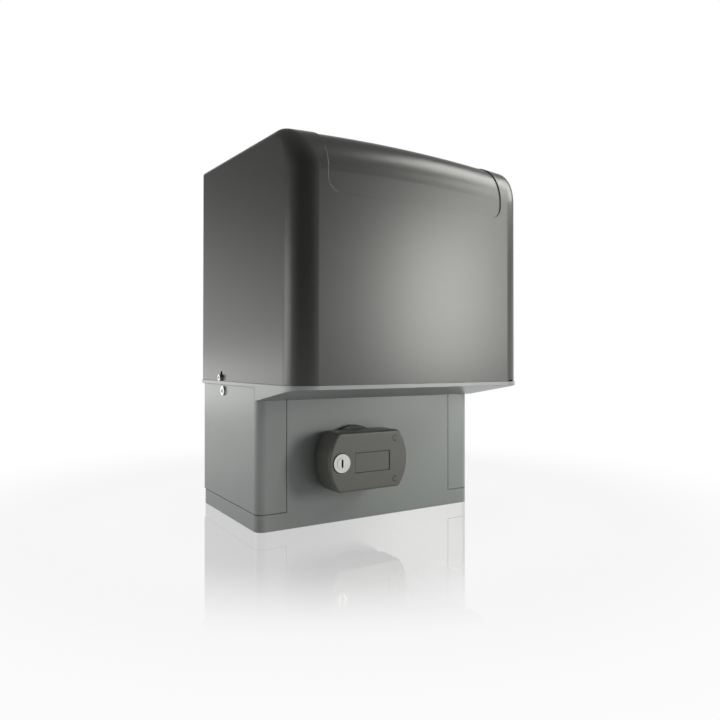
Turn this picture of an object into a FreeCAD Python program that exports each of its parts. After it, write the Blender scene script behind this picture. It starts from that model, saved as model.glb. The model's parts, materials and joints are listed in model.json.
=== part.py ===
"""Sliding gate motor: hood, clad lower body, worm gearbox with release clutch, motor and control board.

Frame: millimetres, +Z up, origin at the centre of the base plate's underside.
-Y is the front with the release handle, +Y the gate side with the drive pinion.
"""
import FreeCAD, Part
import math
import os
import re
import Sketcher
from FreeCAD import Placement, Rotation, Vector

doc = FreeCAD.newDocument("SlidingGateMotor")

# ---------------------------------------------------------------- driving dimensions
SIZES = {
    # lower body
    "body_width": 237.4, "front_room": 29.9, "case_length": 75.0, "rear_room": 36.9,
    "top_room": 8.0, "skirt_height": 14.6,
    "panel_wall": 2.5, "strip_width": 27.2, "seam": 0.6, "body_corner": 8.0,
    # hood
    "side_overhang": 1.8, "rear_overhang": 3.0, "hood_depth": 221.0, "hood_wall": 3.0,
    "hood_draft": 0.15, "roof_front": 208.6, "roof_middle": 216.0, "roof_rear": 222.4,
    "roof_crown": 4.6, "front_bow": 0.8, "brow_round": 40.0, "corner_round": 21.0,
    "edge_round": 7.5, "rear_round": 3.5, "recess_width": 182.0, "recess_depth": 0.8,
    "recess_foot": 151.0, "recess_round": 11.0,
    # tray
    "tray_plate": 3.3, "lip_proud": 0.6, "tray_wall": 2.4, "upstand_height": 11.0,
    "upstand_gap": 0.4, "screw_y": 14.0, "panel_screw_y": 12.7, "screw_rise": 3.3,
    "wedge_depth": 11.8, "wedge_start": 6.3, "gap": 0.3,
    # base plate
    "plate_thick": 5.0, "slot_inset_x": 23.7, "slot_inset_y": 20.9,
    "slot_width": 9.0, "slot_length": 24.0, "duct_bore": 16.0, "duct_inset": 25.7, "grommet_inset": 27.9,
    "level_radius": 4.0, "level_length": 22.0, "level_inset_x": 12.7, "level_inset_y": 10.9,
    # drive geometry
    "shaft_x": -25.0, "shaft_z": 59.0, "mesh_inset": 23.0, "gear_module": 3.0,
    "wheel_teeth": 30.0, "worm_pitch_radius": 15.0, "wheel_face": 22.0, "backlash": 0.45,
    "pinion_module": 4.0, "pinion_teeth": 14.0, "pinion_face": 22.0, "pinion_gap": 5.1,
    "shaft_radius": 12.45, "journal_radius": 8.45, "rod_radius": 4.0, "run": 0.05,
    "release_stroke": 4.5, "pin_radius": 3.0,
    # gearbox
    "case_radius": 58.0, "cavity_radius": 50.5, "cover_thick": 8.0, "foot_thick": 7.0,
    "column_radius": 27.0, "flange_thick": 9.0, "flange_radius": 48.0,
    "bearing_outer": 17.5, "rear_bearing_outer": 26.0, "upper_bearing_outer": 21.0,
    # motor
    "motor_radius": 56.0, "motor_wall": 4.0, "motor_height": 136.0, "stator_inner": 31.0,
    "rotor_radius": 30.4, "stack_low": 34.0, "stack_height": 66.0, "winding_height": 14.0,
    "cap_thick": 6.0, "fin_height": 3.0, "fin_count": 20.0,
    # release handle
    "grip_radius": 41.0, "grip_flat": 26.0, "grip_depth": 26.0, "grip_corner": 5.0,
    "grip_edge": 2.2, "bezel_radius": 29.5,
    "bezel_depth": 6.0, "lock_radius": 8.2, "lock_x": -29.0, "plug_radius": 5.0,
    "label_length": 37.0, "label_height": 18.0, "label_depth": 0.5, "cam_radius": 18.0,
    # electronics
    "board_width": 176.0, "board_height": 96.0, "board_thick": 1.6, "board_y": -98.0,
    "board_rise": 13.7, "carrier_wall": 2.5, "capacitor_radius": 20.0,
    "capacitor_height": 92.0, "capacitor_inset": 40.7, "capacitor_y": -50.0,
    "transformer_inset": 44.7, "transformer_y": 24.0, "button_travel": 0.5,
    "relay_row": 64.0, "chip_row": 62.0, "fuse_row": 66.0, "radio_row": 44.0, "key_row": 30.0,
}

sheet = doc.addObject("Spreadsheet::Sheet", "Sizes")
for line, (alias, number) in enumerate(SIZES.items(), 1):
    sheet.set(f"A{line}", alias)
    sheet.set(f"B{line}", str(number))
    sheet.setAlias(f"B{line}", alias)
doc.recompute()


class Values:
    """The sheet's cells as plain numbers, for the shapes that Part's functions make."""


v = Values()
for alias in SIZES:
    setattr(v, alias, float(getattr(sheet, alias)))

# Sizes that follow from the driving ones: the body is as deep as the gearbox and its room, the hood
# and the tray hang over the body, and what is fixed to the base plate keeps its distance to the edge.
DERIVED = {
    "body_depth": "(front_room + case_length + rear_room)",
    "body_top": "(shaft_z + case_radius + top_room)",
    "hood_bottom": "(body_top + tray_plate)",
    "board_foot": "(hood_bottom + board_rise)",
    "case_front": "(front_room - body_depth / 2)",
    "case_rear": "(case_front + case_length)",
    "mesh_y": "(case_front + mesh_inset)",
    "pinion_y": "(body_depth / 2 + pinion_gap)",
    "hood_width": "(body_width + 2 * side_overhang)",
    "hood_rear": "(body_depth / 2 + rear_overhang)",
    "slot_spacing_x": "(body_width - 2 * slot_inset_x)",
    "slot_spacing_y": "(body_depth - 2 * slot_inset_y)",
    "duct_x": "(body_width / 2 - duct_inset)",
    "level_x": "(body_width / 2 - level_inset_x)",
    "level_y": "(body_depth / 2 - level_inset_y)",
    "grommet_y": "(hood_rear - grommet_inset)",
    "capacitor_x": "(capacitor_inset - body_width / 2)",
    "transformer_x": "(transformer_inset - body_width / 2)",
}
v.body_depth = v.front_room + v.case_length + v.rear_room
v.body_top = v.shaft_z + v.case_radius + v.top_room
v.hood_bottom = v.body_top + v.tray_plate
v.case_rear = v.front_room + v.case_length - v.body_depth / 2
v.mesh_y = v.front_room - v.body_depth / 2 + v.mesh_inset
v.pinion_y = v.body_depth / 2 + v.pinion_gap
v.hood_width = v.body_width + 2 * v.side_overhang


def bound(text):
    """An expression over the sheet, from text that uses the aliases as plain words."""
    def cell(match):
        word = match.group(0)
        if word in DERIVED:
            return bound(DERIVED[word])
        return f"Sizes.{word}" if word in SIZES else word
    return re.sub(r"[a-z][a-z_]*", cell, str(text))


def bind(item, **paths):
    """Bind properties of item; two underscores in a name stand for a full stop."""
    for path, text in paths.items():
        item.setExpression(path.replace("__", "."), bound(text))


# ---------------------------------------------------------------- sketches and bodies
def points(*corners):
    return ("points", corners)


def circle(across, up, radius):
    return ("circle", across, up, radius)


def rectangle(across_low, up_low, across_high, up_high):
    return points((across_low, up_low), (across_high, up_low),
                  (across_high, up_high), (across_low, up_high))


def draw_circle(sketch, across, up, radius):
    edge = sketch.addGeometry(Part.Circle(Vector(0, 0, 0), Vector(0, 0, 1), 10), False)
    for kind, text in (("DistanceX", across), ("DistanceY", up)):
        number = sketch.addConstraint(Sketcher.Constraint(kind, -1, 1, edge, 3, 1.0))
        sketch.setExpression(f"Constraints[{number}]", bound(text))
    number = sketch.addConstraint(Sketcher.Constraint("Radius", edge, 10.0))
    sketch.setExpression(f"Constraints[{number}]", bound(radius))


def draw_points(sketch, corners):
    count = len(corners)
    spots = [Vector(10 * math.cos(2 * math.pi * i / count), 10 * math.sin(2 * math.pi * i / count), 0)
             for i in range(count)]
    first = sketch.GeometryCount
    for i in range(count):
        sketch.addGeometry(Part.LineSegment(spots[i], spots[(i + 1) % count]), False)
    for i in range(count):
        sketch.addConstraint(Sketcher.Constraint(
            "Coincident", first + i, 2, first + (i + 1) % count, 1))
    for i, (across, up) in enumerate(corners):
        for kind, text, start in (("DistanceX", across, spots[i].x), ("DistanceY", up, spots[i].y)):
            number = sketch.addConstraint(
                Sketcher.Constraint(kind, -1, 1, first + i, 1, start or 1.0))
            sketch.setExpression(f"Constraints[{number}]", bound(text))


class Piece:
    """One PartDesign body, grown feature by feature, with its sizes bound to the sheet.

    A feature runs between two levels along its plane's normal axis: XY along Z, XZ along Y, YZ along X.
    """

    def __init__(self, label):
        self.body = doc.addObject("PartDesign::Body", label)
        self.body.Label = label
        self.count = 0

    def _name(self, what):
        self.count += 1
        return f"{self.body.Label}_{what}_{self.count}"

    def _sketch(self, plane, offset, loops):
        sketch = self.body.newObject("Sketcher::SketchObject", self._name("sketch"))
        origin = self.body.Origin.OriginFeatures
        support = [item for item in origin if item.Role == f"{plane}_Plane"][0]
        sketch.AttachmentSupport = (support, [""])
        sketch.MapMode = "FlatFace"
        bind(sketch, AttachmentOffset__Base__z=offset)
        for loop in loops:
            if loop[0] == "circle":
                draw_circle(sketch, *loop[1:])
            else:
                draw_points(sketch, loop[1])
        return sketch

    def _extrude(self, kind, plane, low, high, loops, taper="0"):
        along = plane == "XZ"
        starts_low = (kind == "Pad") != along
        level = low if starts_low else high
        sketch = self._sketch(plane, f"-({level})" if along else level, loops)
        feature = self.body.newObject(f"PartDesign::{kind}", self._name(kind.lower()))
        feature.Profile = sketch
        bind(feature, Length=f"({high}) - ({low})", TaperAngle=taper)
        sketch.Visibility = False
        return feature

    def pad(self, plane, low, high, *loops, taper="0"):
        return self._extrude("Pad", plane, low, high, loops, taper)

    def pocket(self, plane, low, high, *loops, taper="0"):
        return self._extrude("Pocket", plane, low, high, loops, taper)

    def turn(self, plane, *loops, across="0", up="0", upright=False, offset="0"):
        """Revolve loops about a line of the sketch through (across, up)."""
        sketch = self._sketch(plane, offset, loops)
        axis = sketch.addGeometry(Part.LineSegment(Vector(0, 0, 0), Vector(
            0 if upright else 10, 10 if upright else 0, 0)), True)
        for kind_word, text in (("DistanceX", across), ("DistanceY", up)):
            number = sketch.addConstraint(Sketcher.Constraint(kind_word, -1, 1, axis, 1, 1.0))
            sketch.setExpression(f"Constraints[{number}]", bound(text))
        sketch.addConstraint(Sketcher.Constraint("Vertical" if upright else "Horizontal", axis))
        sketch.addConstraint(Sketcher.Constraint("Distance", axis, 10.0))
        feature = self.body.newObject("PartDesign::Revolution", self._name("revolution"))
        feature.Profile = sketch
        feature.ReferenceAxis = (sketch, ["Axis0"])
        feature.Angle = 360
        return feature

    def edges(self, radius, choose, kind="Fillet"):
        """Round or chamfer the edges for which choose(edge) holds."""
        doc.recompute()
        base = self.body.Tip
        names = [f"Edge{i}" for i, edge in enumerate(base.Shape.Edges, 1) if choose(edge)]
        feature = self.body.newObject(f"PartDesign::{kind}", self._name(kind.lower()))
        feature.Base = (base, names)
        bind(feature, **{"Radius" if kind == "Fillet" else "Size": radius})
        return feature

    def around(self, feature, count, centre_axis):
        """Repeat a feature round an axis of the body's origin."""
        pattern = self.body.newObject("PartDesign::PolarPattern", self._name("pattern"))
        pattern.Originals = [feature]
        axis = [item for item in self.body.Origin.OriginFeatures if item.Role == centre_axis][0]
        pattern.Axis = (axis, [""])
        pattern.Angle = 360
        bind(pattern, Occurrences=count)
        self.body.Tip = pattern
        return pattern


def upright(edge):
    """A straight edge along Z."""
    box = edge.BoundBox
    return box.XLength < 0.01 and box.YLength < 0.01 and box.ZLength > 0.1


def along_y(edge):
    """A straight edge along Y."""
    box = edge.BoundBox
    return box.XLength < 0.01 and box.ZLength < 0.01 and box.YLength > 0.1


parts = {}


def keep(label, item):
    item.Label = label
    parts[label] = item
    return item


# ---------------------------------------------------------------- primitives and booleans
AXES = {"X": Rotation(Vector(0, 1, 0), 90), "Y": Rotation(Vector(1, 0, 0), -90), "Z": Rotation()}


def place(item, where, axis="Z"):
    item.Placement = Placement(Vector(0, 0, 0), AXES[axis])
    across, along, up = where
    bind(item, Placement__Base__x=across, Placement__Base__y=along, Placement__Base__z=up)
    return item


def rod(name, where, axis, radius, length):
    """A cylinder from a point along +X, +Y or +Z."""
    item = doc.addObject("Part::Cylinder", name)
    bind(item, Radius=radius, Height=length)
    return place(item, where, axis)


def block(name, low, high):
    item = doc.addObject("Part::Box", name)
    sides = [f"({b}) - ({a})" for a, b in zip(low, high)]
    bind(item, Length=sides[0], Width=sides[1], Height=sides[2])
    return place(item, low)


def fuse(name, *items):
    item = doc.addObject("Part::MultiFuse", name)
    item.Shapes = list(items)
    return item


def common(name, *items):
    item = doc.addObject("Part::MultiCommon", name)
    item.Shapes = list(items)
    return item


def cut(name, base, *tools):
    """Base minus tools; several tools are joined first."""
    item = doc.addObject("Part::Cut", name)
    item.Base = base
    item.Tool = tools[0] if len(tools) == 1 else fuse(f"{name}_tools", *tools)
    return item


def group(name, items):
    item = doc.addObject("Part::Compound", name)
    item.Links = list(items)
    return keep(name, item)


def ring(name, where, axis, outer, inner, length):
    """A plain ring, its bore cut right through."""
    return cut(name, rod(f"{name}_outer", where, axis, outer, length),
               rod(f"{name}_bore", where, axis, inner, length))


SENSE = {"X": (1, 0, 0), "Y": (0, 1, 0), "Z": (0, 0, 1)}


def mirrored(sign, low, high):
    """A span along X on the right, or its mirror image on the left when sign is negative."""
    return (low, high) if sign > 0 else (f"-({high})", f"-({low})")


def step(where, axis, distance):
    """The point at a distance from where along an axis, as expressions."""
    return tuple(f"({text}) + ({distance}) * {unit}" for text, unit in zip(where, SENSE[axis]))


def screw(name, seat, axis, sign, shank, length, head, head_height):
    """A screw with a drilled hexagon-size socket: its shank runs from seat along sign * axis."""
    shank_start = seat if sign > 0 else step(seat, axis, f"-({length})")
    head_start = step(seat, axis, f"-({head_height})") if sign > 0 else seat
    body = fuse(f"{name}_body", rod(f"{name}_shank", shank_start, axis, shank, length),
                rod(f"{name}_head", head_start, axis, head, head_height))
    socket_start = head_start if sign > 0 else step(seat, axis, f"({head_height}) * 0.4")
    socket = rod(f"{name}_socket", socket_start, axis, f"({head}) * 0.5", f"({head_height}) * 0.6")
    return cut(name, body, socket)


# ---------------------------------------------------------------- hood
HOOD_REAR = v.body_depth / 2 + v.rear_overhang
HOOD_FRONT = HOOD_REAR - v.hood_depth


def circle_through(first, second, third):
    """Centre and radius of the circle through three points of a plane."""
    (ax, ay), (bx, by), (cx, cy) = first, second, third
    double = 2 * (ax * (by - cy) + bx * (cy - ay) + cx * (ay - by))
    a2, b2, c2 = ax * ax + ay * ay, bx * bx + by * by, cx * cx + cy * cy
    across = (a2 * (by - cy) + b2 * (cy - ay) + c2 * (ay - by)) / double
    up = (a2 * (cx - bx) + b2 * (ax - cx) + c2 * (bx - ax)) / double
    return across, up, math.hypot(ax - across, ay - up)


def hood_outline(across, drop, bow, inset):
    """Side view of the hood at one place across it: upright front, round brow, arched roof, rear."""
    rise = v.hood_bottom - drop
    centre_y, centre_z, arch = circle_through(
        (HOOD_FRONT + 0.115 * v.hood_depth, rise + v.roof_front),
        (HOOD_FRONT + 0.588 * v.hood_depth, rise + v.roof_middle),
        (HOOD_REAR, rise + v.roof_rear))
    arch -= inset
    brow = v.brow_round - inset
    front = HOOD_FRONT + bow + inset
    rear = HOOD_REAR - inset
    brow_y = front + brow
    brow_z = centre_z + math.sqrt((arch - brow) ** 2 - (brow_y - centre_y) ** 2)
    lean = math.atan2(brow_z - centre_z, brow_y - centre_y)
    rear_z = centre_z + math.sqrt(arch ** 2 - (rear - centre_y) ** 2)
    rear_lean = math.atan2(rear_z - centre_z, rear - centre_y)

    def spot(along, up):
        slant = math.tan(math.radians(v.hood_draft)) * (up - v.hood_bottom)
        return Vector(across - math.copysign(slant, across) if across else 0, along, up)

    def on_brow(angle):
        return spot(brow_y + brow * math.cos(angle), brow_z + brow * math.sin(angle))

    def on_roof(angle):
        return spot(centre_y + arch * math.cos(angle), centre_z + arch * math.sin(angle))

    curves = [
        Part.LineSegment(spot(front, v.hood_bottom), on_brow(math.pi)),
        Part.Arc(on_brow(math.pi), on_brow((math.pi + lean) / 2), on_roof(lean)),
        Part.Arc(on_roof(lean), on_roof((lean + rear_lean) / 2), on_roof(rear_lean)),
        Part.LineSegment(on_roof(rear_lean), spot(rear, v.hood_bottom)),
        Part.LineSegment(spot(rear, v.hood_bottom), spot(front, v.hood_bottom)),
    ]
    return Part.Wire([curve.toShape() for curve in curves])


def hood_form(name, inset):
    """The crowned hood as a closed solid, its walls moved inwards by inset, with rounded edges."""
    half = v.hood_width / 2 - inset
    sides = [(-half, v.roof_crown, v.front_bow), (0, 0, 0), (half, v.roof_crown, v.front_bow)]
    raw = doc.addObject("Part::Feature", f"{name}_loft")
    raw.Shape = Part.makeLoft([hood_outline(x, drop, bow, inset) for x, drop, bow in sides],
                              True, False)
    corner = v.corner_round - inset
    roof = v.edge_round - inset
    rear = max(v.rear_round - inset, 0.8)
    rounds = []
    for number, edge in enumerate(raw.Shape.Edges, 1):
        box = edge.BoundBox
        low, high = sorted((point.Point.z for point in edge.Vertexes))
        if box.YLength < 1 and box.XLength < 4:
            radius = corner if box.YMax < 0 else rear
            rounds.append((number, radius, radius))
        elif box.XLength < 4 and high - low > 20 and box.YMax < 0:
            rises = edge.Vertexes[0].Point.z < edge.Vertexes[-1].Point.z
            rounds.append((number, corner, roof) if rises else (number, roof, corner))
        elif box.XLength < 4 and low > v.hood_bottom + 1:
            rounds.append((number, roof, roof))
    form = doc.addObject("Part::Fillet", name)
    form.Base = raw
    form.Edges = rounds
    return form


def make_hood():
    """One moulding, open below: crowned roof, bare recess, open-ended screw slots in its sides."""
    outer = hood_form("hood_outer", 0)
    floor_of_recess = hood_form("hood_recess_floor", v.recess_depth)
    inner = hood_form("hood_inner", v.hood_wall)
    window = Piece("recess_window")
    half = "recess_width / 2"
    foot = "hood_bottom + recess_foot"
    window.pad("XZ", "-hood_depth", "hood_rear - recess_depth",
               rectangle(f"-{half}", foot, half, "hood_bottom + hood_depth * 2"))
    window.edges("recess_round", lambda e: along_y(e) and e.CenterOfMass.z < v.hood_bottom + 180)
    skin = cut("recess_skin", window.body, floor_of_recess)
    shell = cut("hood_shell", outer, inner)
    tools = [skin]
    for side, sign in (("left", -1), ("right", 1)):
        low, high = (f"{sign} * hood_width / 2 - 6", f"{sign} * hood_width / 2 + 6")
        tools.append(block(f"slot_{side}", (low, "screw_y - 2.6", "hood_bottom - 1"),
                           (high, "screw_y + 2.6", "hood_bottom + 7")))
        tools.append(rod(f"slot_top_{side}", (low, "screw_y", "hood_bottom + 7"), "X", "2.6", "12"))
    tools.append(block("corner_notch", ("hood_width / 2 - 18", "hood_rear - hood_depth - 1",
                                        "hood_bottom - 1"),
                       ("hood_width / 2 - 13", "hood_rear - hood_depth + 6", "hood_bottom + 1.6")))
    keep("hood", cut("hood", shell, *tools))


make_hood()

# ---------------------------------------------------------------- tray
WORM_X = "(shaft_x + gear_module * wheel_teeth / 2 + worm_pitch_radius)"
FRONT = "(hood_rear - hood_depth)"
TRAY_LOW = "(hood_bottom - tray_plate)"
BODY_FRONT = "(-body_depth / 2)"


def make_tray():
    """Carries the electronics and the hood; its front overhangs the body as a sloping wedge."""
    wide = "hood_width / 2 + lip_proud"
    lip = f"{FRONT} - lip_proud"
    plan = Piece("tray_plan")
    plan.pad("XY", f"{TRAY_LOW} - wedge_depth - 5", "hood_bottom + 5",
             rectangle(f"-({wide})", lip, wide, "hood_rear + lip_proud"))
    plan.edges("corner_round + lip_proud", lambda e: upright(e) and e.CenterOfMass.y < 0)
    plan.edges("rear_round + lip_proud", lambda e: upright(e) and e.CenterOfMass.y > 0)
    side = Piece("tray_side")
    back = f"{BODY_FRONT} - gap"
    side.pad("YZ", f"-({wide}) - 1", f"{wide} + 1",
             points((f"{lip} - 1", "hood_bottom"), ("body_depth", "hood_bottom"),
                    ("body_depth", TRAY_LOW), (back, TRAY_LOW),
                    (back, f"{TRAY_LOW} - wedge_depth"), (f"{lip} + wedge_start", TRAY_LOW),
                    (f"{lip} - 1", TRAY_LOW)))
    solid = common("tray_solid", plan.body, side.body)

    run = f"({back} - ({lip} + wedge_start))"

    def underside(along):
        """Height of the wedge's inner floor at a place along Y."""
        return f"{TRAY_LOW} - wedge_depth * ({along} - ({lip} + wedge_start)) / {run} + tray_wall * 1.05"

    hollows = []
    inside = "hood_width / 2 - hood_wall"
    shelf = "(board_y + 13)"
    for name, low, high in (("front", f"({lip} + 14)", "(board_y + 2)"),
                            ("rear", shelf, f"({back} - tray_wall)")):
        hollow = Piece(f"wedge_hollow_{name}")
        hollow.pad("YZ", f"-({inside})", inside,
                   points((low, underside(low)), (high, underside(high)),
                          (high, "hood_bottom + 2"), (low, "hood_bottom + 2")))
        hollows.append(hollow.body)

    across = "hood_width / 2 - hood_wall - upstand_gap"
    near = f"{FRONT} + front_bow + hood_wall + upstand_gap"
    far = "hood_rear - hood_wall - upstand_gap"
    rim = Piece("upstand")
    rim.pad("XY", "hood_bottom - 0.5", "hood_bottom + upstand_height",
            rectangle(f"-({across})", near, across, far))
    rim.edges("corner_round - hood_wall - upstand_gap",
              lambda e: upright(e) and e.CenterOfMass.y < 0)
    rim_core = Piece("upstand_core")
    rim_core.pad("XY", "hood_bottom - 1", "hood_bottom + upstand_height + 1",
                 rectangle(f"-({across}) + tray_wall", f"{near} + tray_wall",
                           f"{across} - tray_wall", f"{far} - tray_wall"))
    rim_core.edges("corner_round - hood_wall - upstand_gap - tray_wall",
                   lambda e: upright(e) and e.CenterOfMass.y < 0)
    solids = [solid, cut("rim", rim.body, rim_core.body)]
    holes = [rod("motor_opening", (WORM_X, "mesh_y", f"{TRAY_LOW} - 1"), "Z",
                 "flange_radius + 1.5", "tray_plate + 2"),
             rod("grommet_hole", ("duct_x + 3", "grommet_y", f"{TRAY_LOW} - 1"), "Z",
                 "duct_bore - 4", "tray_plate + 2")]
    lug = "body_width / 2 - panel_wall - gap"
    for side_name, sign in (("left", -1), ("right", 1)):
        boss_low, boss_high = mirrored(sign, f"{across} - 10", across)
        lug_low, lug_high = mirrored(sign, f"{lug} - 7", lug)
        solids.append(block(f"screw_boss_{side_name}", (boss_low, "screw_y - 8", "hood_bottom - 0.5"),
                            (boss_high, "screw_y + 8", "hood_bottom + upstand_height")))
        solids.append(block(f"panel_lug_{side_name}", (lug_low, "panel_screw_y - 8", "body_top - 14"),
                            (lug_high, "panel_screw_y + 8", "body_top + 0.5")))
        holes.append(rod(f"boss_hole_{side_name}",
                         (boss_low, "screw_y", "hood_bottom + screw_rise"), "X", "2", "10"))
        holes.append(rod(f"lug_hole_{side_name}", (lug_low, "panel_screw_y", "body_top - 6"), "X",
                         "1.7", "7"))
    keep("tray", cut("tray", fuse("tray_mass", *solids), *hollows, *holes))


make_tray()


def make_side_screws():
    """Two hood screws and two panel screws, left and right."""
    out = "hood_width / 2 + 0.3"
    rise = "hood_bottom + screw_rise"
    face = "body_width / 2 + 0.05"
    group("case_screws", [
        screw("hood_screw_left", (f"-({out})", "screw_y", rise), "X", 1, "1.95", "13", "3.1", "2.4"),
        screw("hood_screw_right", (out, "screw_y", rise), "X", -1, "1.95", "13", "3.1", "2.4"),
        screw("panel_screw_left", (f"-({face})", "panel_screw_y", "body_top - 6"), "X", 1,
              "1.65", "8", "4.6", "1.6"),
        screw("panel_screw_right", (face, "panel_screw_y", "body_top - 6"), "X", -1,
              "1.65", "8", "4.6", "1.6")])


make_side_screws()


# ---------------------------------------------------------------- lower body panels
def make_body_shell():
    half, deep = "body_width / 2", "body_depth / 2"
    skirt = Piece("base_skirt")
    skirt.pad("XY", "0", "skirt_height",
              rectangle(f"-{half}", f"-{deep}", half, deep))
    skirt.edges("body_corner", lambda e: upright(e) and e.CenterOfMass.y < 0)
    skirt.edges("rear_round", lambda e: upright(e) and e.CenterOfMass.y > 0)
    skirt.pad("XZ", f"-{deep}", f"-{deep} + panel_wall",
              rectangle(f"-({half} - strip_width) + seam", "skirt_height / 2",
                        f"{half} - strip_width - seam", "body_top - gap"))
    skirt.pocket("XY", "-1", "skirt_height + 1",
                 rectangle(f"-({half} - panel_wall)", f"-({deep} - panel_wall)",
                           f"{half} - panel_wall", f"{deep} - panel_wall"))
    skirt.pocket("XZ", f"-{deep} - 1", f"-{deep} + panel_wall + 1",
                 circle("shaft_x", "shaft_z", "13"))
    keep("base_skirt", skirt.body)

    for name, sign in (("left", "-1"), ("right", "1")):
        panel = Piece(f"side_panel_{name}")
        edge = f"{sign} * ({half} - strip_width)"
        panel.pad("XY", "skirt_height + seam", "body_top - gap",
                  points((edge, f"-{deep}"), (f"{sign} * {half}", f"-{deep}"),
                         (f"{sign} * {half}", deep), (f"{sign} * ({half} - panel_wall)", deep),
                         (f"{sign} * ({half} - panel_wall)", f"-{deep} + panel_wall"),
                         (edge, f"-{deep} + panel_wall")))
        panel.edges("body_corner", lambda e: upright(e) and e.CenterOfMass.y < 1 - v.body_depth / 2
                    and abs(e.CenterOfMass.x) > v.body_width / 2 - 1)
        panel.edges("body_corner - panel_wall",
                    lambda e: upright(e) and abs(e.CenterOfMass.x) < v.body_width / 2 - 1
                    and abs(e.CenterOfMass.x) > v.body_width / 2 - 2 * v.panel_wall
                    and e.CenterOfMass.y < 0)
        panel.pocket("YZ", f"{sign} * {half} - 4", f"{sign} * {half} + 4",
                     circle("panel_screw_y", "body_top - 6", "1.7"))
        keep(f"side_panel_{name}", panel.body)

    rear = Piece("rear_panel")
    rear.pad("XZ", f"{deep} - panel_wall", deep,
             rectangle(f"-({half} - panel_wall - gap)", "skirt_height + seam",
                       f"{half} - panel_wall - gap", "body_top - gap"))
    rear.pocket("XZ", f"{deep} - panel_wall - 1", f"{deep} + 1", circle("shaft_x", "shaft_z", "21"))
    keep("rear_panel", rear.body)


make_body_shell()


def make_base_plate():
    """Steel plate with four slots, a duct bore, tapped levelling holes and gearbox bolt holes."""
    wide = "body_width / 2 - panel_wall - gap"
    deep = "body_depth / 2 - panel_wall - gap"
    plate = Piece("base_blank")
    plate.pad("XY", "0", "plate_thick", rectangle(f"-({wide})", f"-({deep})", wide, deep))
    plate.edges("body_corner - panel_wall", upright)
    tools = []
    flat = "(slot_length - slot_width) / 2"
    for x_sign in (-1, 1):
        for y_sign in (-1, 1):
            tag = f"{x_sign}_{y_sign}".replace("-", "m")
            x = f"{x_sign} * slot_spacing_x / 2"
            y = f"{y_sign} * slot_spacing_y / 2"
            tools.append(block(f"slot_{tag}", (f"{x} - {flat}", f"{y} - slot_width / 2", "-1"),
                               (f"{x} + {flat}", f"{y} + slot_width / 2", "plate_thick + 1")))
            for end in ("-", "+"):
                tools.append(rod(f"slot_end_{tag}_{'a' if end == '-' else 'b'}",
                                 (f"{x} {end} {flat}", y, "-1"), "Z", "slot_width / 2",
                                 "plate_thick + 2"))
            tools.append(rod(f"level_hole_{tag}", (f"{x_sign} * level_x", f"{y_sign} * level_y", "-1"),
                             "Z", "level_radius + run", "plate_thick + 2"))
    for number, (x, y) in enumerate(FOOT_BOLTS):
        tools.append(rod(f"foot_hole_{number}", (x, y, "-1"), "Z", "4", "plate_thick + 2"))
    tools.append(rod("duct_hole", ("duct_x", "0", "-1"), "Z", "duct_bore", "plate_thick + 2"))
    keep("base_plate", cut("base_plate", plate.body, *tools))
    group("levelling_screws", [
        cut(f"leveller_{x}_{y}".replace("-", "m"),
            rod(f"level_{x}_{y}".replace("-", "m"), (f"{x} * level_x", f"{y} * level_y", "0"), "Z",
                "level_radius", "level_length"),
            rod(f"level_socket_{x}_{y}".replace("-", "m"),
                (f"{x} * level_x", f"{y} * level_y", "level_length - 4"), "Z", "2.2", "5"))
        for x in (-1, 1) for y in (-1, 1)])
    group("foot_bolts", [
        screw(f"foot_bolt_{number}", (x, y, "plate_thick + foot_thick"), "Z", -1, "3.95",
              "plate_thick + foot_thick - 0.5", "6", "8")
        for number, (x, y) in enumerate(FOOT_BOLTS)])


FOOT_BOLTS = [(x, y) for x in ("shaft_x - 50.5", f"{WORM_X} + 35")
              for y in ("mesh_y - 14", "mesh_y + 46")]
make_base_plate()


# ---------------------------------------------------------------- gearbox
small_screws = []


def at_shaft(along, across="0", up="0"):
    return (f"shaft_x + ({across})", along, f"shaft_z + ({up})")


def at_worm(up, across="0", along="0"):
    return (f"{WORM_X} + ({across})", f"mesh_y + ({along})", up)


def bearing(name, where, axis, outer, inner, width):
    """A bearing as one closed ring, with the shields sunk between its races on both faces."""
    wall = f"({outer} - ({inner}))"
    body = ring(f"{name}_body", where, axis, outer, inner, width)
    tools = [ring(f"{name}_shield_{tag}", step(where, axis, shift), axis,
                  f"{inner} + {wall} * 0.68", f"{inner} + {wall} * 0.32", "2")
             for tag, shift in (("near", "-1.2"), ("far", f"({width}) - 0.8"))]
    return cut(name, body, *tools)


BOLT_ANGLES = (48, 90, 132, 180, 228, 312)


def around_shaft(radius, angle):
    """Offsets across and up for a place at an angle round the shaft."""
    return (f"({radius}) * {math.cos(math.radians(angle)):.6f}",
            f"({radius}) * {math.sin(math.radians(angle)):.6f}")


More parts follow.
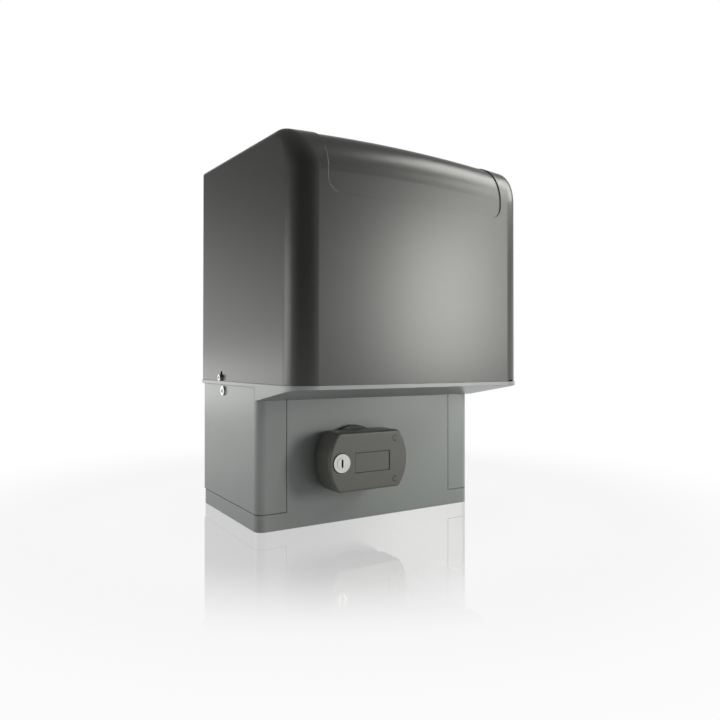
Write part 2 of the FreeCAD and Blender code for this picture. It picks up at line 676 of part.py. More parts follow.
def make_gearbox():
    top = "hood_bottom"
    below = block("under_plate", ("-200", "-200", "-50"), ("200", "200", "plate_thick"))
    ribs = []
    for number, along in enumerate(("mesh_y + 5", "mesh_y + 23")):
        rib = Piece(f"rib_{number}")
        rib.pad("XZ", along, f"{along} + 5",
                points(("shaft_x - 56", "plate_thick + foot_thick - 1"),
                       ("shaft_x + case_radius", "plate_thick + foot_thick - 1"),
                       (f"{WORM_X} + 39", "plate_thick + foot_thick - 1"),
                       (f"{WORM_X} + 20", "shaft_z"), ("shaft_x", "shaft_z + 30"),
                       ("shaft_x - 48", "shaft_z")))
        ribs.append(rib.body)
    mass = fuse(
        "case_mass",
        rod("drum", at_shaft("case_front"), "Y", "case_radius", "case_rear - case_front"),
        rod("column", at_worm("plate_thick"), "Z", "column_radius", f"{top} - plate_thick"),
        rod("motor_flange", at_worm(f"{top} - flange_thick"), "Z", "flange_radius", "flange_thick"),
        rod("rear_boss", at_shaft("case_rear - 1"), "Y", "rear_bearing_outer + 8", "25"),
        block("foot", ("shaft_x - 58", "case_front", "plate_thick"),
              (f"{WORM_X} + 43", "case_rear + 2", "plate_thick + foot_thick")), *ribs)
    tools = [
        below,
        block("front_clear", ("-200", "case_front - 80", "0"), ("200", "case_front", f"{top} - 10.3")),
        rod("wheel_space", at_shaft("case_front - 1"), "Y", "cavity_radius",
            "case_rear - case_front"),
        rod("rear_step", at_shaft("case_rear - 2"), "Y", "20", "5"),
        rod("rear_seat", at_shaft("case_rear + 1"), "Y", "rear_bearing_outer + run", "30"),
        rod("worm_space", at_worm("22"), "Z", "worm_pitch_radius + gear_module + 1.5",
            f"{top} - 44.3"),
        rod("lower_seat", at_worm("10.5"), "Z", "bearing_outer + run", "12"),
        rod("upper_seat", at_worm(f"{top} - 22.6"), "Z", "upper_bearing_outer + run", f"{top}")]
    for number, (x, y) in enumerate(FOOT_BOLTS):
        tools.append(rod(f"case_foot_hole_{number}", (x, y, "plate_thick - 1"), "Z", "4.2", "20"))
    for number, angle in enumerate(BOLT_ANGLES):
        across, up = around_shaft("(case_radius + cavity_radius) / 2", angle)
        tools.append(rod(f"case_bolt_hole_{number}", at_shaft("case_front - 1", across, up), "Y",
                         "2", "15"))
    keep("gearbox_housing", cut("gearbox_housing", mass, *tools))

    face = "case_front - cover_thick"
    cover = fuse("cover_mass",
                 rod("cover_plate", at_shaft(face), "Y", "case_radius", "cover_thick"),
                 rod("cover_boss", at_shaft("case_front - 1"), "Y", "24", "5.4"))
    cover_tools = [block("cover_under", ("-200", "-200", "-50"), ("200", "200", "plate_thick + gap")),
                   rod("front_seat", at_shaft("case_front - 6.2"), "Y", "bearing_outer + run", "20"),
                   rod("rod_way", at_shaft(f"{face} - 1"), "Y", "rod_radius + 1", "20")]
    for number, angle in enumerate((45, 225)):
        across, up = around_shaft("cam_radius + 4", angle)
        cover_tools.append(rod(f"pin_socket_{number}", at_shaft(f"{face} - 1", across, up), "Y",
                               "2.02", "6"))
    for number, angle in enumerate(BOLT_ANGLES):
        across, up = around_shaft("(case_radius + cavity_radius) / 2", angle)
        cover_tools.append(rod(f"cover_hole_{number}", at_shaft(f"{face} - 1", across, up), "Y",
                               "2.1", "20"))
    keep("gearbox_cover", cut("gearbox_cover", cover, *cover_tools))
    small_screws.extend(
        screw(f"cover_screw_{number}",
              at_shaft(face, *around_shaft("(case_radius + cavity_radius) / 2", angle)), "Y", 1,
              "1.95", "20", "3.6", "3.5") for number, angle in enumerate(BOLT_ANGLES))
    group("guide_pins", [
        rod(f"guide_pin_{number}",
            at_shaft(f"{face} - 15", *around_shaft("cam_radius + 4", angle)), "Y", "2", "19.9")
        for number, angle in enumerate((45, 225))])

    group("output_bearings", [
        bearing("front_bearing", at_shaft("case_front - 6"), "Y", "bearing_outer", "journal_radius + run",
                "10"),
        bearing("rear_bearing", at_shaft("case_rear + 1.2"), "Y", "rear_bearing_outer", "shaft_radius + run",
                "15")])
    group("worm_bearings", [
        bearing("lower_bearing", at_worm("10.7"), "Z", "bearing_outer", "7.5", "11"),
        bearing("upper_bearing", at_worm("hood_bottom - 22.3"), "Z", "upper_bearing_outer", "10", "12"),
        bearing("motor_bearing", at_worm("hood_bottom + motor_height - 10"), "Z", "16", "7.5",
                "9.5")])
    keep("bearing_retainer", ring("bearing_retainer", at_worm("hood_bottom - 10"), "Z",
                                  "upper_bearing_outer", "14", "3"))
    keep("shaft_seal", ring("shaft_seal", at_shaft("case_rear + 16.5"), "Y", "rear_bearing_outer",
                            "shaft_radius + run", "7"))


make_gearbox()


def gear_wire(along, module, teeth, slack, turn):
    """Outline of an involute gear in the plane y = along, in the shaft's own coordinates."""
    pitch = module * teeth / 2
    base = pitch * math.cos(math.radians(20))
    tip, root = pitch + module, pitch - 1.25 * module

    def involute(radius):
        angle = math.acos(min(1, base / radius))
        return math.tan(angle) - angle

    start = max(base, root)
    half = (math.pi * module / 2 - slack) / (2 * pitch) + involute(pitch)
    flank = [(start + (tip - start) * share, half - involute(start + (tip - start) * share))
             for share in (0, 0.35, 0.7, 1)]
    if root < base - 0.01:
        flank.insert(0, (root, half))
    corners = []
    for tooth in range(int(teeth)):
        middle = 2 * math.pi * tooth / teeth + turn
        for side, order in ((-1, flank), (1, flank[::-1])):
            for radius, angle in order:
                corners.append(Vector(radius * math.cos(middle + side * angle), along,
                                      radius * math.sin(middle + side * angle)))
    return Part.makePolygon(corners + corners[:1])


def gear_body(name, module, teeth, slack, low, high, slope=0.0):
    """A gear between two levels along Y; slope is how far a tooth leans sideways per millimetre."""
    middle = (low + high) / 2
    pitch = module * teeth / 2
    wires = [gear_wire(y, module, teeth, slack, -slope * (y - middle) / pitch) for y in (low, high)]
    item = doc.addObject("Part::Feature", name)
    item.Shape = Part.makeLoft(wires, True, True)
    return place(item, ("shaft_x", "0", "shaft_z"))


def bar(angle, half_length, half_width):
    """A rectangle through the shaft's axis, turned in the XZ plane."""
    c, s = math.cos(math.radians(angle)), math.sin(math.radians(angle))
    return points(*[(f"shaft_x + ({half_length}) * {a * c:.6f} - ({half_width}) * {b * s:.6f}",
                     f"shaft_z + ({half_length}) * {a * s:.6f} + ({half_width}) * {b * c:.6f}")
                    for a, b in ((-1, -1), (1, -1), (1, 1), (-1, 1))])


def dog_lugs(name, angles, low, high):
    """Four dog teeth as a ring's meeting with two crossed bars."""
    bars = []
    for angle in angles:
        piece = Piece(f"{name}_bar_{angle}")
        piece.pad("XZ", low, high, bar(angle, "21", "4.5"))
        bars.append(piece.body)
    width = f"({high}) - ({low})"
    return common(f"{name}_lugs", ring(f"{name}_lug_ring", at_shaft(low), "Y", "20", "13.5", width),
                  fuse(f"{name}_bars", *bars))


def make_wheel_and_clutch():
    lead_slope = v.gear_module / (2 * v.worm_pitch_radius)
    face_low, face_high = v.mesh_y - v.wheel_face / 2, v.mesh_y + v.wheel_face / 2
    teeth = gear_body("wheel_teeth_body", v.gear_module, v.wheel_teeth, v.backlash,
                      face_low, face_high, lead_slope)
    hub = rod("wheel_hub", at_shaft("mesh_y - 16"), "Y", "20", "30")
    lugs = dog_lugs("wheel", (45, 135), "mesh_y + 13.5", "mesh_y + 17.8")
    dish = [ring(f"wheel_dish_{tag}", at_shaft(level), "Y", "36", "24", "5")
            for tag, level in (("near", "mesh_y - wheel_face / 2 - 1"),
                               ("far", "mesh_y + wheel_face / 2 - 4"))]
    bore = rod("wheel_bore", at_shaft("mesh_y - 40"), "Y", "shaft_radius + run", "80")
    keep("worm_wheel", cut("worm_wheel", fuse("wheel_mass", teeth, hub, lugs), bore, *dish))
    keep("thrust_washer", ring("thrust_washer", at_shaft("mesh_y - 18.3"), "Y", "18",
                               "shaft_radius + run", "2"))

    collar = ring("dog_ring", at_shaft("mesh_y + 18.5"), "Y", "20", "shaft_radius + run", "10")
    dogs = dog_lugs("clutch", (0, 90), "mesh_y + 14.5", "mesh_y + 19")
    cross = rod("dog_cross_hole", at_shaft("mesh_y + 23.5", "-30"), "X", "pin_radius + 0.02", "60")
    keep("clutch_dog", cut("clutch_dog", fuse("dog_mass", collar, dogs), cross))
    keep("clutch_pin", rod("clutch_pin", at_shaft("mesh_y + 23.5", "-19"), "X", "pin_radius", "38"))
    push = rod("push_rod_bar", at_shaft("case_front - 13.2"), "Y", "rod_radius",
               "mesh_y - case_front + 42.7")
    keep("push_rod", cut("push_rod", push,
                         rod("push_rod_hole", at_shaft("mesh_y + 23.5", "-30"), "X",
                             "pin_radius + 0.02", "60")))

    coils = doc.addObject("Part::Feature", "clutch_spring")
    wire, low, high = 1.1, v.mesh_y + 28.9 + 1.1, v.case_rear - 4.3 - 1.1
    mean = v.shaft_radius + 3.4
    turns = 4
    helix = Part.makeHelix((high - low) / turns, high - low, mean)
    sides = 12
    corners = [Vector(mean + wire * math.cos(2 * math.pi * side / sides), 0,
                      wire * math.sin(2 * math.pi * side / sides)) for side in range(sides)]
    coils.Shape = Part.Wire(helix).makePipeShell([Part.makePolygon(corners + corners[:1])], True, True)
    coils.Placement = Placement(Vector(0, 0, 0), AXES["Y"])
    bind(coils, Placement__Base__x="shaft_x", Placement__Base__y=str(low),
         Placement__Base__z="shaft_z")
    keep("clutch_spring", coils)


make_wheel_and_clutch()


def make_output():
    shaft = Piece("output_shaft")
    middle = "shaft_z"
    near = "case_front - 5.8"
    far = "pinion_y + pinion_face"
    shaft.turn("YZ", points(
        (near, middle), (near, f"{middle} + journal_radius"),
        ("case_front + 4.3", f"{middle} + journal_radius"),
        ("case_front + 4.3", f"{middle} + shaft_radius"),
        ("case_rear - 4", f"{middle} + shaft_radius"), ("case_rear - 4", f"{middle} + 17"),
        ("case_rear", f"{middle} + 17"), ("case_rear", f"{middle} + shaft_radius"),
        ("pinion_y - gap", f"{middle} + shaft_radius"),
        ("pinion_y - gap", f"{middle} + 11"), (f"{far} + 2.2", f"{middle} + 11"),
        (f"{far} + 2.2", f"{middle} + 9.8"), (f"{far} + 3.6", f"{middle} + 9.8"),
        (f"{far} + 3.6", f"{middle} + 11"), (f"{far} + 7", f"{middle} + 11"),
        (f"{far} + 7", middle)), up=middle, offset="shaft_x")
    shaft.pocket("XZ", "case_front - 7", "mesh_y + 35", circle("shaft_x", "shaft_z", "rod_radius + run"))
    slot = points(("mesh_y + 20.4", "shaft_z - pin_radius - run"),
                  ("mesh_y + 31.1", "shaft_z - pin_radius - run"),
                  ("mesh_y + 31.1", "shaft_z + pin_radius + run"),
                  ("mesh_y + 20.4", "shaft_z + pin_radius + run"))
    shaft.pocket("YZ", "shaft_x - 20", "shaft_x + 20", slot)
    shaft.pocket("XY", "shaft_z + 8", "shaft_z + 14",
                 rectangle("shaft_x - 3", "pinion_y + 1", "shaft_x + 3", "pinion_y + pinion_face - 1"))
    keep("output_shaft", shaft.body)

    low, high = v.pinion_y, v.pinion_y + v.pinion_face
    teeth = gear_body("pinion_teeth_body", v.pinion_module, v.pinion_teeth, 0.2, low, high)
    bore = rod("pinion_bore", at_shaft("pinion_y - 1"), "Y", "11.02", "pinion_face + 2")
    keyway = block("pinion_keyway", ("shaft_x - 3.02", "pinion_y - 1", "shaft_z + 5"),
                   ("shaft_x + 3.02", "pinion_y + pinion_face + 1", "shaft_z + 14.1"))
    keep("drive_pinion", cut("drive_pinion", teeth, bore, keyway))
    keep("pinion_key", block("pinion_key", ("shaft_x - 2.98", "pinion_y + 1.1", "shaft_z + 8.05"),
                             ("shaft_x + 2.98", "pinion_y + pinion_face - 1.1", "shaft_z + 14")))
    washer = (ring("pinion_washer", at_shaft("pinion_y + pinion_face + 0.1"), "Y", "17",
                               "11.05", "1.9"))
    clip = ring("circlip_ring", at_shaft("pinion_y + pinion_face + 2.3"), "Y", "13.5", "9.9", "1.2")
    mouth = block("circlip_mouth", ("shaft_x - 5", "pinion_y + pinion_face + 1", "shaft_z - 20"),
                  ("shaft_x + 5", "pinion_y + pinion_face + 5", "shaft_z - 5"))
    group("pinion_retainer", [washer, cut("circlip", clip, mouth)])


make_output()


def make_worm():
    """Worm and rotor shaft in one piece: trapezoid thread swept along a right-hand helix."""
    module, pitch_radius = v.gear_module, v.worm_pitch_radius
    lead = math.pi * module
    turns = 5
    half = (lead / 2 - v.backlash) / 2
    lean = math.tan(math.radians(20))
    inner, outer = pitch_radius - 1.25 * module - 0.4, pitch_radius + module - 0.15
    rise_in, rise_out = half + (pitch_radius - inner) * lean, half - (outer - pitch_radius) * lean
    section = Part.makePolygon([Vector(-inner, 0, -rise_in), Vector(-outer, 0, -rise_out),
                                Vector(-outer, 0, rise_out), Vector(-inner, 0, rise_in),
                                Vector(-inner, 0, -rise_in)])
    helix = Part.makeHelix(lead, turns * lead, pitch_radius)
    helix.rotate(Vector(0, 0, 0), Vector(0, 0, 1), 180)
    thread = doc.addObject("Part::Feature", "worm_thread")
    thread.Shape = Part.Wire(helix.Wires[0]).makePipeShell([section], True, True)
    place(thread, at_worm(f"shaft_z - {turns / 2:.1f} * pi * gear_module"))
    core = Piece("worm_core")
    x = WORM_X
    root = "worm_pitch_radius - 1.25 * gear_module"
    seat = "hood_bottom + motor_height"
    core.turn("XZ", points(
        (x, "11"), (f"{x} + 7.45", "11"), (f"{x} + 7.45", "22"), (f"{x} + 10.5", "22"),
        (f"{x} + 10.5", "30"), (f"{x} + {root}", "31"), (f"{x} + {root}", "hood_bottom - 22.4"),
        (f"{x} + 9.95", "hood_bottom - 22.4"), (f"{x} + 9.95", "hood_bottom - 6.3"),
        (f"{x} + 9", "hood_bottom - 6.3"),
        (f"{x} + 9", f"{seat} - 10.4"), (f"{x} + 7.45", f"{seat} - 10.4"),
        (f"{x} + 7.45", f"{seat} - 0.5"), (x, f"{seat} - 0.5")),
        across=x, upright=True, offset="-(mesh_y)")
    keep("worm_shaft", fuse("worm_shaft", core.body, thread))


make_worm()


# ---------------------------------------------------------------- motor
def make_motor():
    base = "hood_bottom"
    frame = Piece("motor_frame")
    bind(frame.body, Placement__Base__x=WORM_X, Placement__Base__y="mesh_y",
         Placement__Base__z=base)
    wall_in = "motor_radius - motor_wall"
    frame.turn("XZ", points(("24", "0"), ("motor_radius", "0"), ("motor_radius", "motor_height"),
                            (wall_in, "motor_height"), (wall_in, "5"), ("24", "5")), upright=True)
    fin = frame.pad("XY", "8", "motor_height - 8",
                    rectangle("motor_radius - 1", "-1.1", "motor_radius + fin_height", "1.1"))
    frame.around(fin, "fin_count", "Z_Axis")
    keep("motor_frame", frame.body)

    stack = f"{base} + stack_low"
    keep("stator_core", ring("stator_core", at_worm(stack), "Z", "motor_radius - motor_wall - run",
                             "stator_inner", "stack_height"))
    keep("rotor_core", ring("rotor_core", at_worm(stack), "Z", "rotor_radius", "9.02",
                            "stack_height"))
    windings = []
    for name, low in (("lower_winding", f"{stack} - winding_height"),
                      ("upper_winding", f"{stack} + stack_height")):
        winding = Piece(name)
        bind(winding.body, Placement__Base__x=WORM_X, Placement__Base__y="mesh_y",
             Placement__Base__z=low)
        winding.turn("XZ", rectangle("stator_inner + 2.5", "0", "motor_radius - motor_wall - 3",
                                     "winding_height"), upright=True)
        top = name == "upper_winding"
        level = v.winding_height if top else 0
        winding.edges("4", lambda e, level=level: e.BoundBox.ZLength < 0.01
                      and abs(e.CenterOfMass.z - level) < 0.01)
        windings.append(winding.body)
    group("stator_windings", windings)

    top = f"{base} + motor_height"
    cap = fuse("cap_mass", rod("cap_plate", at_worm(top), "Z", "motor_radius", "cap_thick"),
               rod("cap_boss", at_worm(f"{top} - 12"), "Z", "20", "13"))
    cap_tools = [rod("cap_seat", at_worm(f"{top} - 13"), "Z", "16.05", "13")]
    places = []
    for number in range(4):
        across, along = around_shaft("motor_radius - motor_wall / 2", 45 + 90 * number)
        places.append(at_worm(top, across, along))
        cap_tools.append(rod(f"cap_hole_{number}", at_worm(f"{top} - 1", across, along), "Z",
                             "1.5", "20"))
    keep("motor_end_cap", cut("motor_end_cap", cap, *cap_tools))
    small_screws.extend(
        screw(f"cap_screw_{number}", (x, y, f"{z} + cap_thick"), "Z", -1, "1.45",
              "cap_thick - 0.2", "2.6", "2.4") for number, (x, y, z) in enumerate(places))


make_motor()


# ---------------------------------------------------------------- release handle
GRIP_BACK = f"({BODY_FRONT} - bezel_depth - 0.4)"
GRIP_FRONT = f"({BODY_FRONT} - bezel_depth - grip_depth)"
LOCK_X = "(shaft_x + lock_x)"


def make_handle():
    grip = Piece("release_handle")
    grip.pad("XZ", GRIP_FRONT, GRIP_BACK, circle("shaft_x", "shaft_z", "grip_radius"))
    for up in ("grip_flat", "-grip_flat - 30"):
        grip.pocket("XZ", f"{GRIP_FRONT} - 1", f"{GRIP_BACK} + 1",
                    rectangle("shaft_x - 60", f"shaft_z + {up}", "shaft_x + 60",
                              f"shaft_z + {up} + 30"))
    front = v.body_depth / -2 - v.bezel_depth - v.grip_depth
    grip.edges("grip_corner", lambda e: along_y(e) and e.BoundBox.YLength > 10)
    grip.edges("grip_edge", lambda e: abs(e.CenterOfMass.y - front) < 0.01)
    grip.pocket("XZ", GRIP_FRONT, f"{GRIP_FRONT} + label_depth",
                rectangle("shaft_x - 15.5", "shaft_z - label_height / 2 - 1",
                          "shaft_x - 15.5 + label_length", "shaft_z + label_height / 2 - 1"))
    for low, high in (("shaft_x - 33", "shaft_x - 12"), ("shaft_x + 12", "shaft_x + 31")):
        grip.pocket("XZ", f"{GRIP_FRONT} + 3.5", f"{GRIP_BACK} + 1",
                    rectangle(low, "shaft_z - grip_flat + 3.5", high, "shaft_z + grip_flat - 3.5"))
    grip.pocket("XZ", f"{GRIP_FRONT} - 1", f"{GRIP_FRONT} + 20",
                circle(LOCK_X, "shaft_z", "lock_radius + 0.02"))
    grip.pocket("XZ", f"{GRIP_FRONT} + 7", f"{GRIP_BACK} + 1", circle("shaft_x", "shaft_z", "8.02"))
    keep("release_handle", grip.body)

    keep("lock_cylinder", ring("lock_cylinder", (LOCK_X, f"{GRIP_FRONT} - 1", "shaft_z"), "Y",
                               "lock_radius", "plug_radius + run", "17"))
    plug = fuse("plug_mass",
                rod("plug_barrel", (LOCK_X, f"{GRIP_FRONT} - 1.4", "shaft_z"), "Y", "plug_radius",
                    "17.4"),
                rod("plug_stub", (LOCK_X, f"{GRIP_FRONT} + 15", "shaft_z"), "Y", "1.98", "4"))
    keyway = block("plug_keyway", (f"{LOCK_X} - 0.9", f"{GRIP_FRONT} - 2", "shaft_z - 3.6"),
                   (f"{LOCK_X} + 0.9", f"{GRIP_FRONT} + 12", "shaft_z + 3.6"))
    tongue = block("tongue_arm", (f"{LOCK_X} - 3", f"{GRIP_FRONT} + 16.3", "shaft_z - 3"),
                   (f"{LOCK_X} + 11.5", f"{GRIP_FRONT} + 18.2", "shaft_z + 3"))
    keep("key_plug", cut("key_plug", plug, keyway))
    keep("lock_tongue", cut("lock_tongue", tongue,
                            rod("tongue_hole", (LOCK_X, f"{GRIP_FRONT} + 10", "shaft_z"), "Y",
                                "2", "10")))

    sleeve_end = f"({BODY_FRONT} + panel_wall + 1.5)"
    bezel = fuse("bezel_mass",
                 rod("bezel_face", at_shaft(f"{BODY_FRONT} - bezel_depth"), "Y", "bezel_radius",
                     "bezel_depth"),
                 rod("bezel_sleeve", at_shaft(f"{BODY_FRONT} - 1"), "Y", "12.9",
                     f"{sleeve_end} - {BODY_FRONT} + 1"))
    keep("handle_bezel", cut("handle_bezel", bezel,
                             rod("bezel_bore", at_shaft(f"{BODY_FRONT} - 20"), "Y", "8.05", "40")))

    cam_low = f"({BODY_FRONT} + panel_wall + 1.9)"
    ramp_low = f"({cam_low} + 4.5)"
    ramp_top = f"({ramp_low} + release_stroke)"
    keep("handle_spindle", rod("handle_spindle", at_shaft(f"{GRIP_FRONT} + 7.2"), "Y", "8",
                               f"{ramp_top} - 0.5 - ({GRIP_FRONT} + 7.2)"))
    cam = Piece("release_cam")
    cam.pad("XZ", cam_low, ramp_top, circle("shaft_x", "shaft_z", "cam_radius"),
            circle("shaft_x", "shaft_z", "8.02"))
    for low, high, turn in (("shaft_x + 5", "shaft_x + 20", "1"), ("shaft_x - 20", "shaft_x - 5", "-1")):
        cam.pocket("YZ", low, high,
                   points((f"{ramp_top} + 1", f"shaft_z - {turn} * 19"),
                          (f"{ramp_low} - 0.57", f"shaft_z - {turn} * 19"),
                          (f"{ramp_low} - 0.57", f"shaft_z - {turn} * 12.4"),
                          (f"{ramp_top} + 0.57", f"shaft_z + {turn} * 12.4"),
                          (f"{ramp_top} + 1", f"shaft_z + {turn} * 12.4")))
    keep("release_cam", cam.body)

    plate_low = f"({ramp_top} + 1)"
    solids = [rod("follower_plate", at_shaft(plate_low), "Y", "cam_radius", "2")]
    for number, (angle, kind) in enumerate(((-45, "lug"), (135, "lug"), (45, "ear"), (225, "ear"))):
        if kind == "lug":
            across, up = around_shaft("14", angle)
            tip = f"{ramp_low} + 0.3 + 2.5"
            solids.append(rod(f"follower_lug_{number}", at_shaft(tip, across, up), "Y", "2.5",
                              f"{plate_low} + 1 - ({tip})"))
            ball = doc.addObject("Part::Sphere", f"follower_tip_{number}")
            bind(ball, Radius="2.5")
            solids.append(place(ball, at_shaft(tip, across, up)))
        else:
            across, up = around_shaft("cam_radius + 4", angle)
            solids.append(rod(f"follower_ear_{number}", at_shaft(plate_low, across, up), "Y", "5.5",
                              "2"))
    holes = [rod(f"ear_hole_{angle}",
                 at_shaft(f"{plate_low} - 1", *around_shaft("cam_radius + 4", angle)), "Y", "2.05", "4")
             for angle in (45, 225)]
    keep("cam_follower", cut("cam_follower", fuse("follower_mass", *solids), *holes))


make_handle()


# ---------------------------------------------------------------- electronics
BOARD_FRONT = "(board_y - board_thick)"
TOP = "hood_bottom"


def make_board():
    carrier = Piece("board_carrier")
    half = "board_width / 2 + 8"
    plate_low, plate_high = "(board_y + 6)", "(board_y + 6 + carrier_wall)"
    roof = "board_foot + board_height + 8"
    carrier.pad("XZ", plate_low, plate_high, rectangle(f"-({half})", TOP, half, roof))
    carrier.pad("XY", TOP, f"{TOP} + 3", rectangle(f"-({half})", "board_y + 3", half, "board_y + 12"))
    for sign in ("-1", "1"):
        carrier.pad("YZ", f"{sign} * ({half} - 1.25) - 1.25", f"{sign} * ({half} - 1.25) + 1.25",
                    points(("board_y - 6", TOP), (plate_high, TOP), (plate_high, roof),
                           (plate_low, roof), ("board_y - 6", f"{TOP} + 40")))
    posts = [(f"{x} * (board_width / 2 - 5)", f"board_foot + board_height / 2 + {z} * (board_height / 2 - 5)")
             for x in (-1, 1) for z in (-1, 1)]
    for x, z in posts:
        carrier.pad("XZ", "board_y", f"{plate_low} + 1", circle(x, z, "4"))
    for x, z in posts:
        carrier.pocket("XZ", "board_y - 1", f"{plate_high} + 1", circle(x, z, "1.5"))
    keep("board_carrier", carrier.body)

    board = Piece("circuit_board")
    board.pad("XZ", BOARD_FRONT, "board_y",
              rectangle("-board_width / 2", "board_foot", "board_width / 2",
                        "board_foot + board_height"))
    for x, z in posts:
        board.pocket("XZ", f"{BOARD_FRONT} - 1", "board_y + 1", circle(x, z, "1.7"))
    keep("circuit_board", board.body)
    small_screws.extend(
        screw(f"board_screw_{number}", (x, BOARD_FRONT, z), "Y", 1, "1.45", "7.5", "2.8", "2")
        for number, (x, z) in enumerate(posts))
    group("small_screws", small_screws)

    def on_board(name, across, up, width, height, depth):
        """A block standing on the board's front face, by its lower left corner."""
        return block(name, (across, f"{BOARD_FRONT} - {depth}", f"board_foot + {up}"),
                     (f"{across} + {width}", BOARD_FRONT, f"board_foot + {up} + {height}"))

    strips = []
    for number, start in enumerate((-72, -22, 28)):
        ways = 6
        tools = []
        for way in range(ways):
            x = f"{start} + 3.8 + {way * 7.2:.1f}"
            tools.append(rod(f"way_screw_{number}_{way}", (x, f"{BOARD_FRONT} - 7", "board_foot + 10"),
                             "Z", "1.9", "4"))
            tools.append(block(f"way_mouth_{number}_{way}", (f"{x} - 2", f"{BOARD_FRONT} - 13",
                                                             "board_foot + 3"),
                               (f"{x} + 2", f"{BOARD_FRONT} - 8", "board_foot + 7")))
        strips.append(cut(f"strip_{number}", on_board(f"strip_block_{number}", start, 2, "43.6", "10",
                                                      "12"), *tools))
    group("terminal_blocks", strips)
    relays = [on_board(f"relay_{number}", x, "relay_row", "19", "15.5", "15.5")
              for number, x in enumerate((-70, -47, -24))]
    group("relays_and_chip", [*relays, on_board("control_chip", 4, "chip_row", "14", "14", "1.6")])
    holder = on_board("fuse_base", 40, "fuse_row", "30", "10", "7")
    trough = block("fuse_trough", ("45", f"{BOARD_FRONT} - 8", "board_foot + fuse_row + 1.5"),
                   ("65", f"{BOARD_FRONT} - 2.5", "board_foot + fuse_row + 8.5"))
    fuse_way = rod("fuse_way", ("41", f"{BOARD_FRONT} - 5.5", "board_foot + fuse_row + 5"), "X", "2.55", "28")
    link = rod("fuse_link", ("45.2", f"{BOARD_FRONT} - 5.5", "board_foot + fuse_row + 5"), "X", "2.5", "19.6")
    group("fuse", [cut("fuse_holder", holder, trough, fuse_way), link])
    radio = fuse("radio_mass", on_board("radio_header", 24, "radio_row", "22", "2.6", "8"),
                 block("radio_card", ("22", f"{BOARD_FRONT} - 22", "board_foot + radio_row + 0.5"),
                       ("48", f"{BOARD_FRONT} - 3", "board_foot + radio_row + 2.1")))
    keep("radio_receiver", radio)

    cases = []
    for name, x in BUTTONS:
        case = on_board(f"{name}_case", f"{x} - 3", "key_row - 3", "6", "6", "4")
        cases.append(cut(f"{name}_switch", case, rod(f"{name}_bore", (x, f"{BOARD_FRONT} - 5",
                                                                      "board_foot + key_row"), "Y",
                                                     "1.8", "4")))
        keep(name, rod(name, (x, f"{BOARD_FRONT} - 7.5", "board_foot + key_row"), "Y", "1.75",
                       "6.4 - button_travel"))
    for name, x in TRIMMERS:
        cases.append(on_board(f"{name}_case", f"{x} - 4.5", "key_row - 4.5", "9", "9", "4.5"))
        wheel = rod(f"{name}_wheel", (x, f"{BOARD_FRONT} - 7.6", "board_foot + key_row"), "Y", "3.6", "3")
        slot = block(f"{name}_slot", (f"{x} - 0.5", f"{BOARD_FRONT} - 8", "board_foot + key_row - 3"),
                     (f"{x} + 0.5", f"{BOARD_FRONT} - 6.6", "board_foot + key_row + 3"))
        keep(name, cut(name, wheel, slot))
    group("control_cases", cases)


BUTTONS = [(name, f"board_width / 2 - {inset}") for name, inset in
           (("learn_button", 36), ("open_button", 24), ("close_button", 12))]
TRIMMERS = [(name, f"{inset} - board_width / 2") for name, inset in
            (("force_trimmer", 22), ("pause_trimmer", 38))]
make_board()


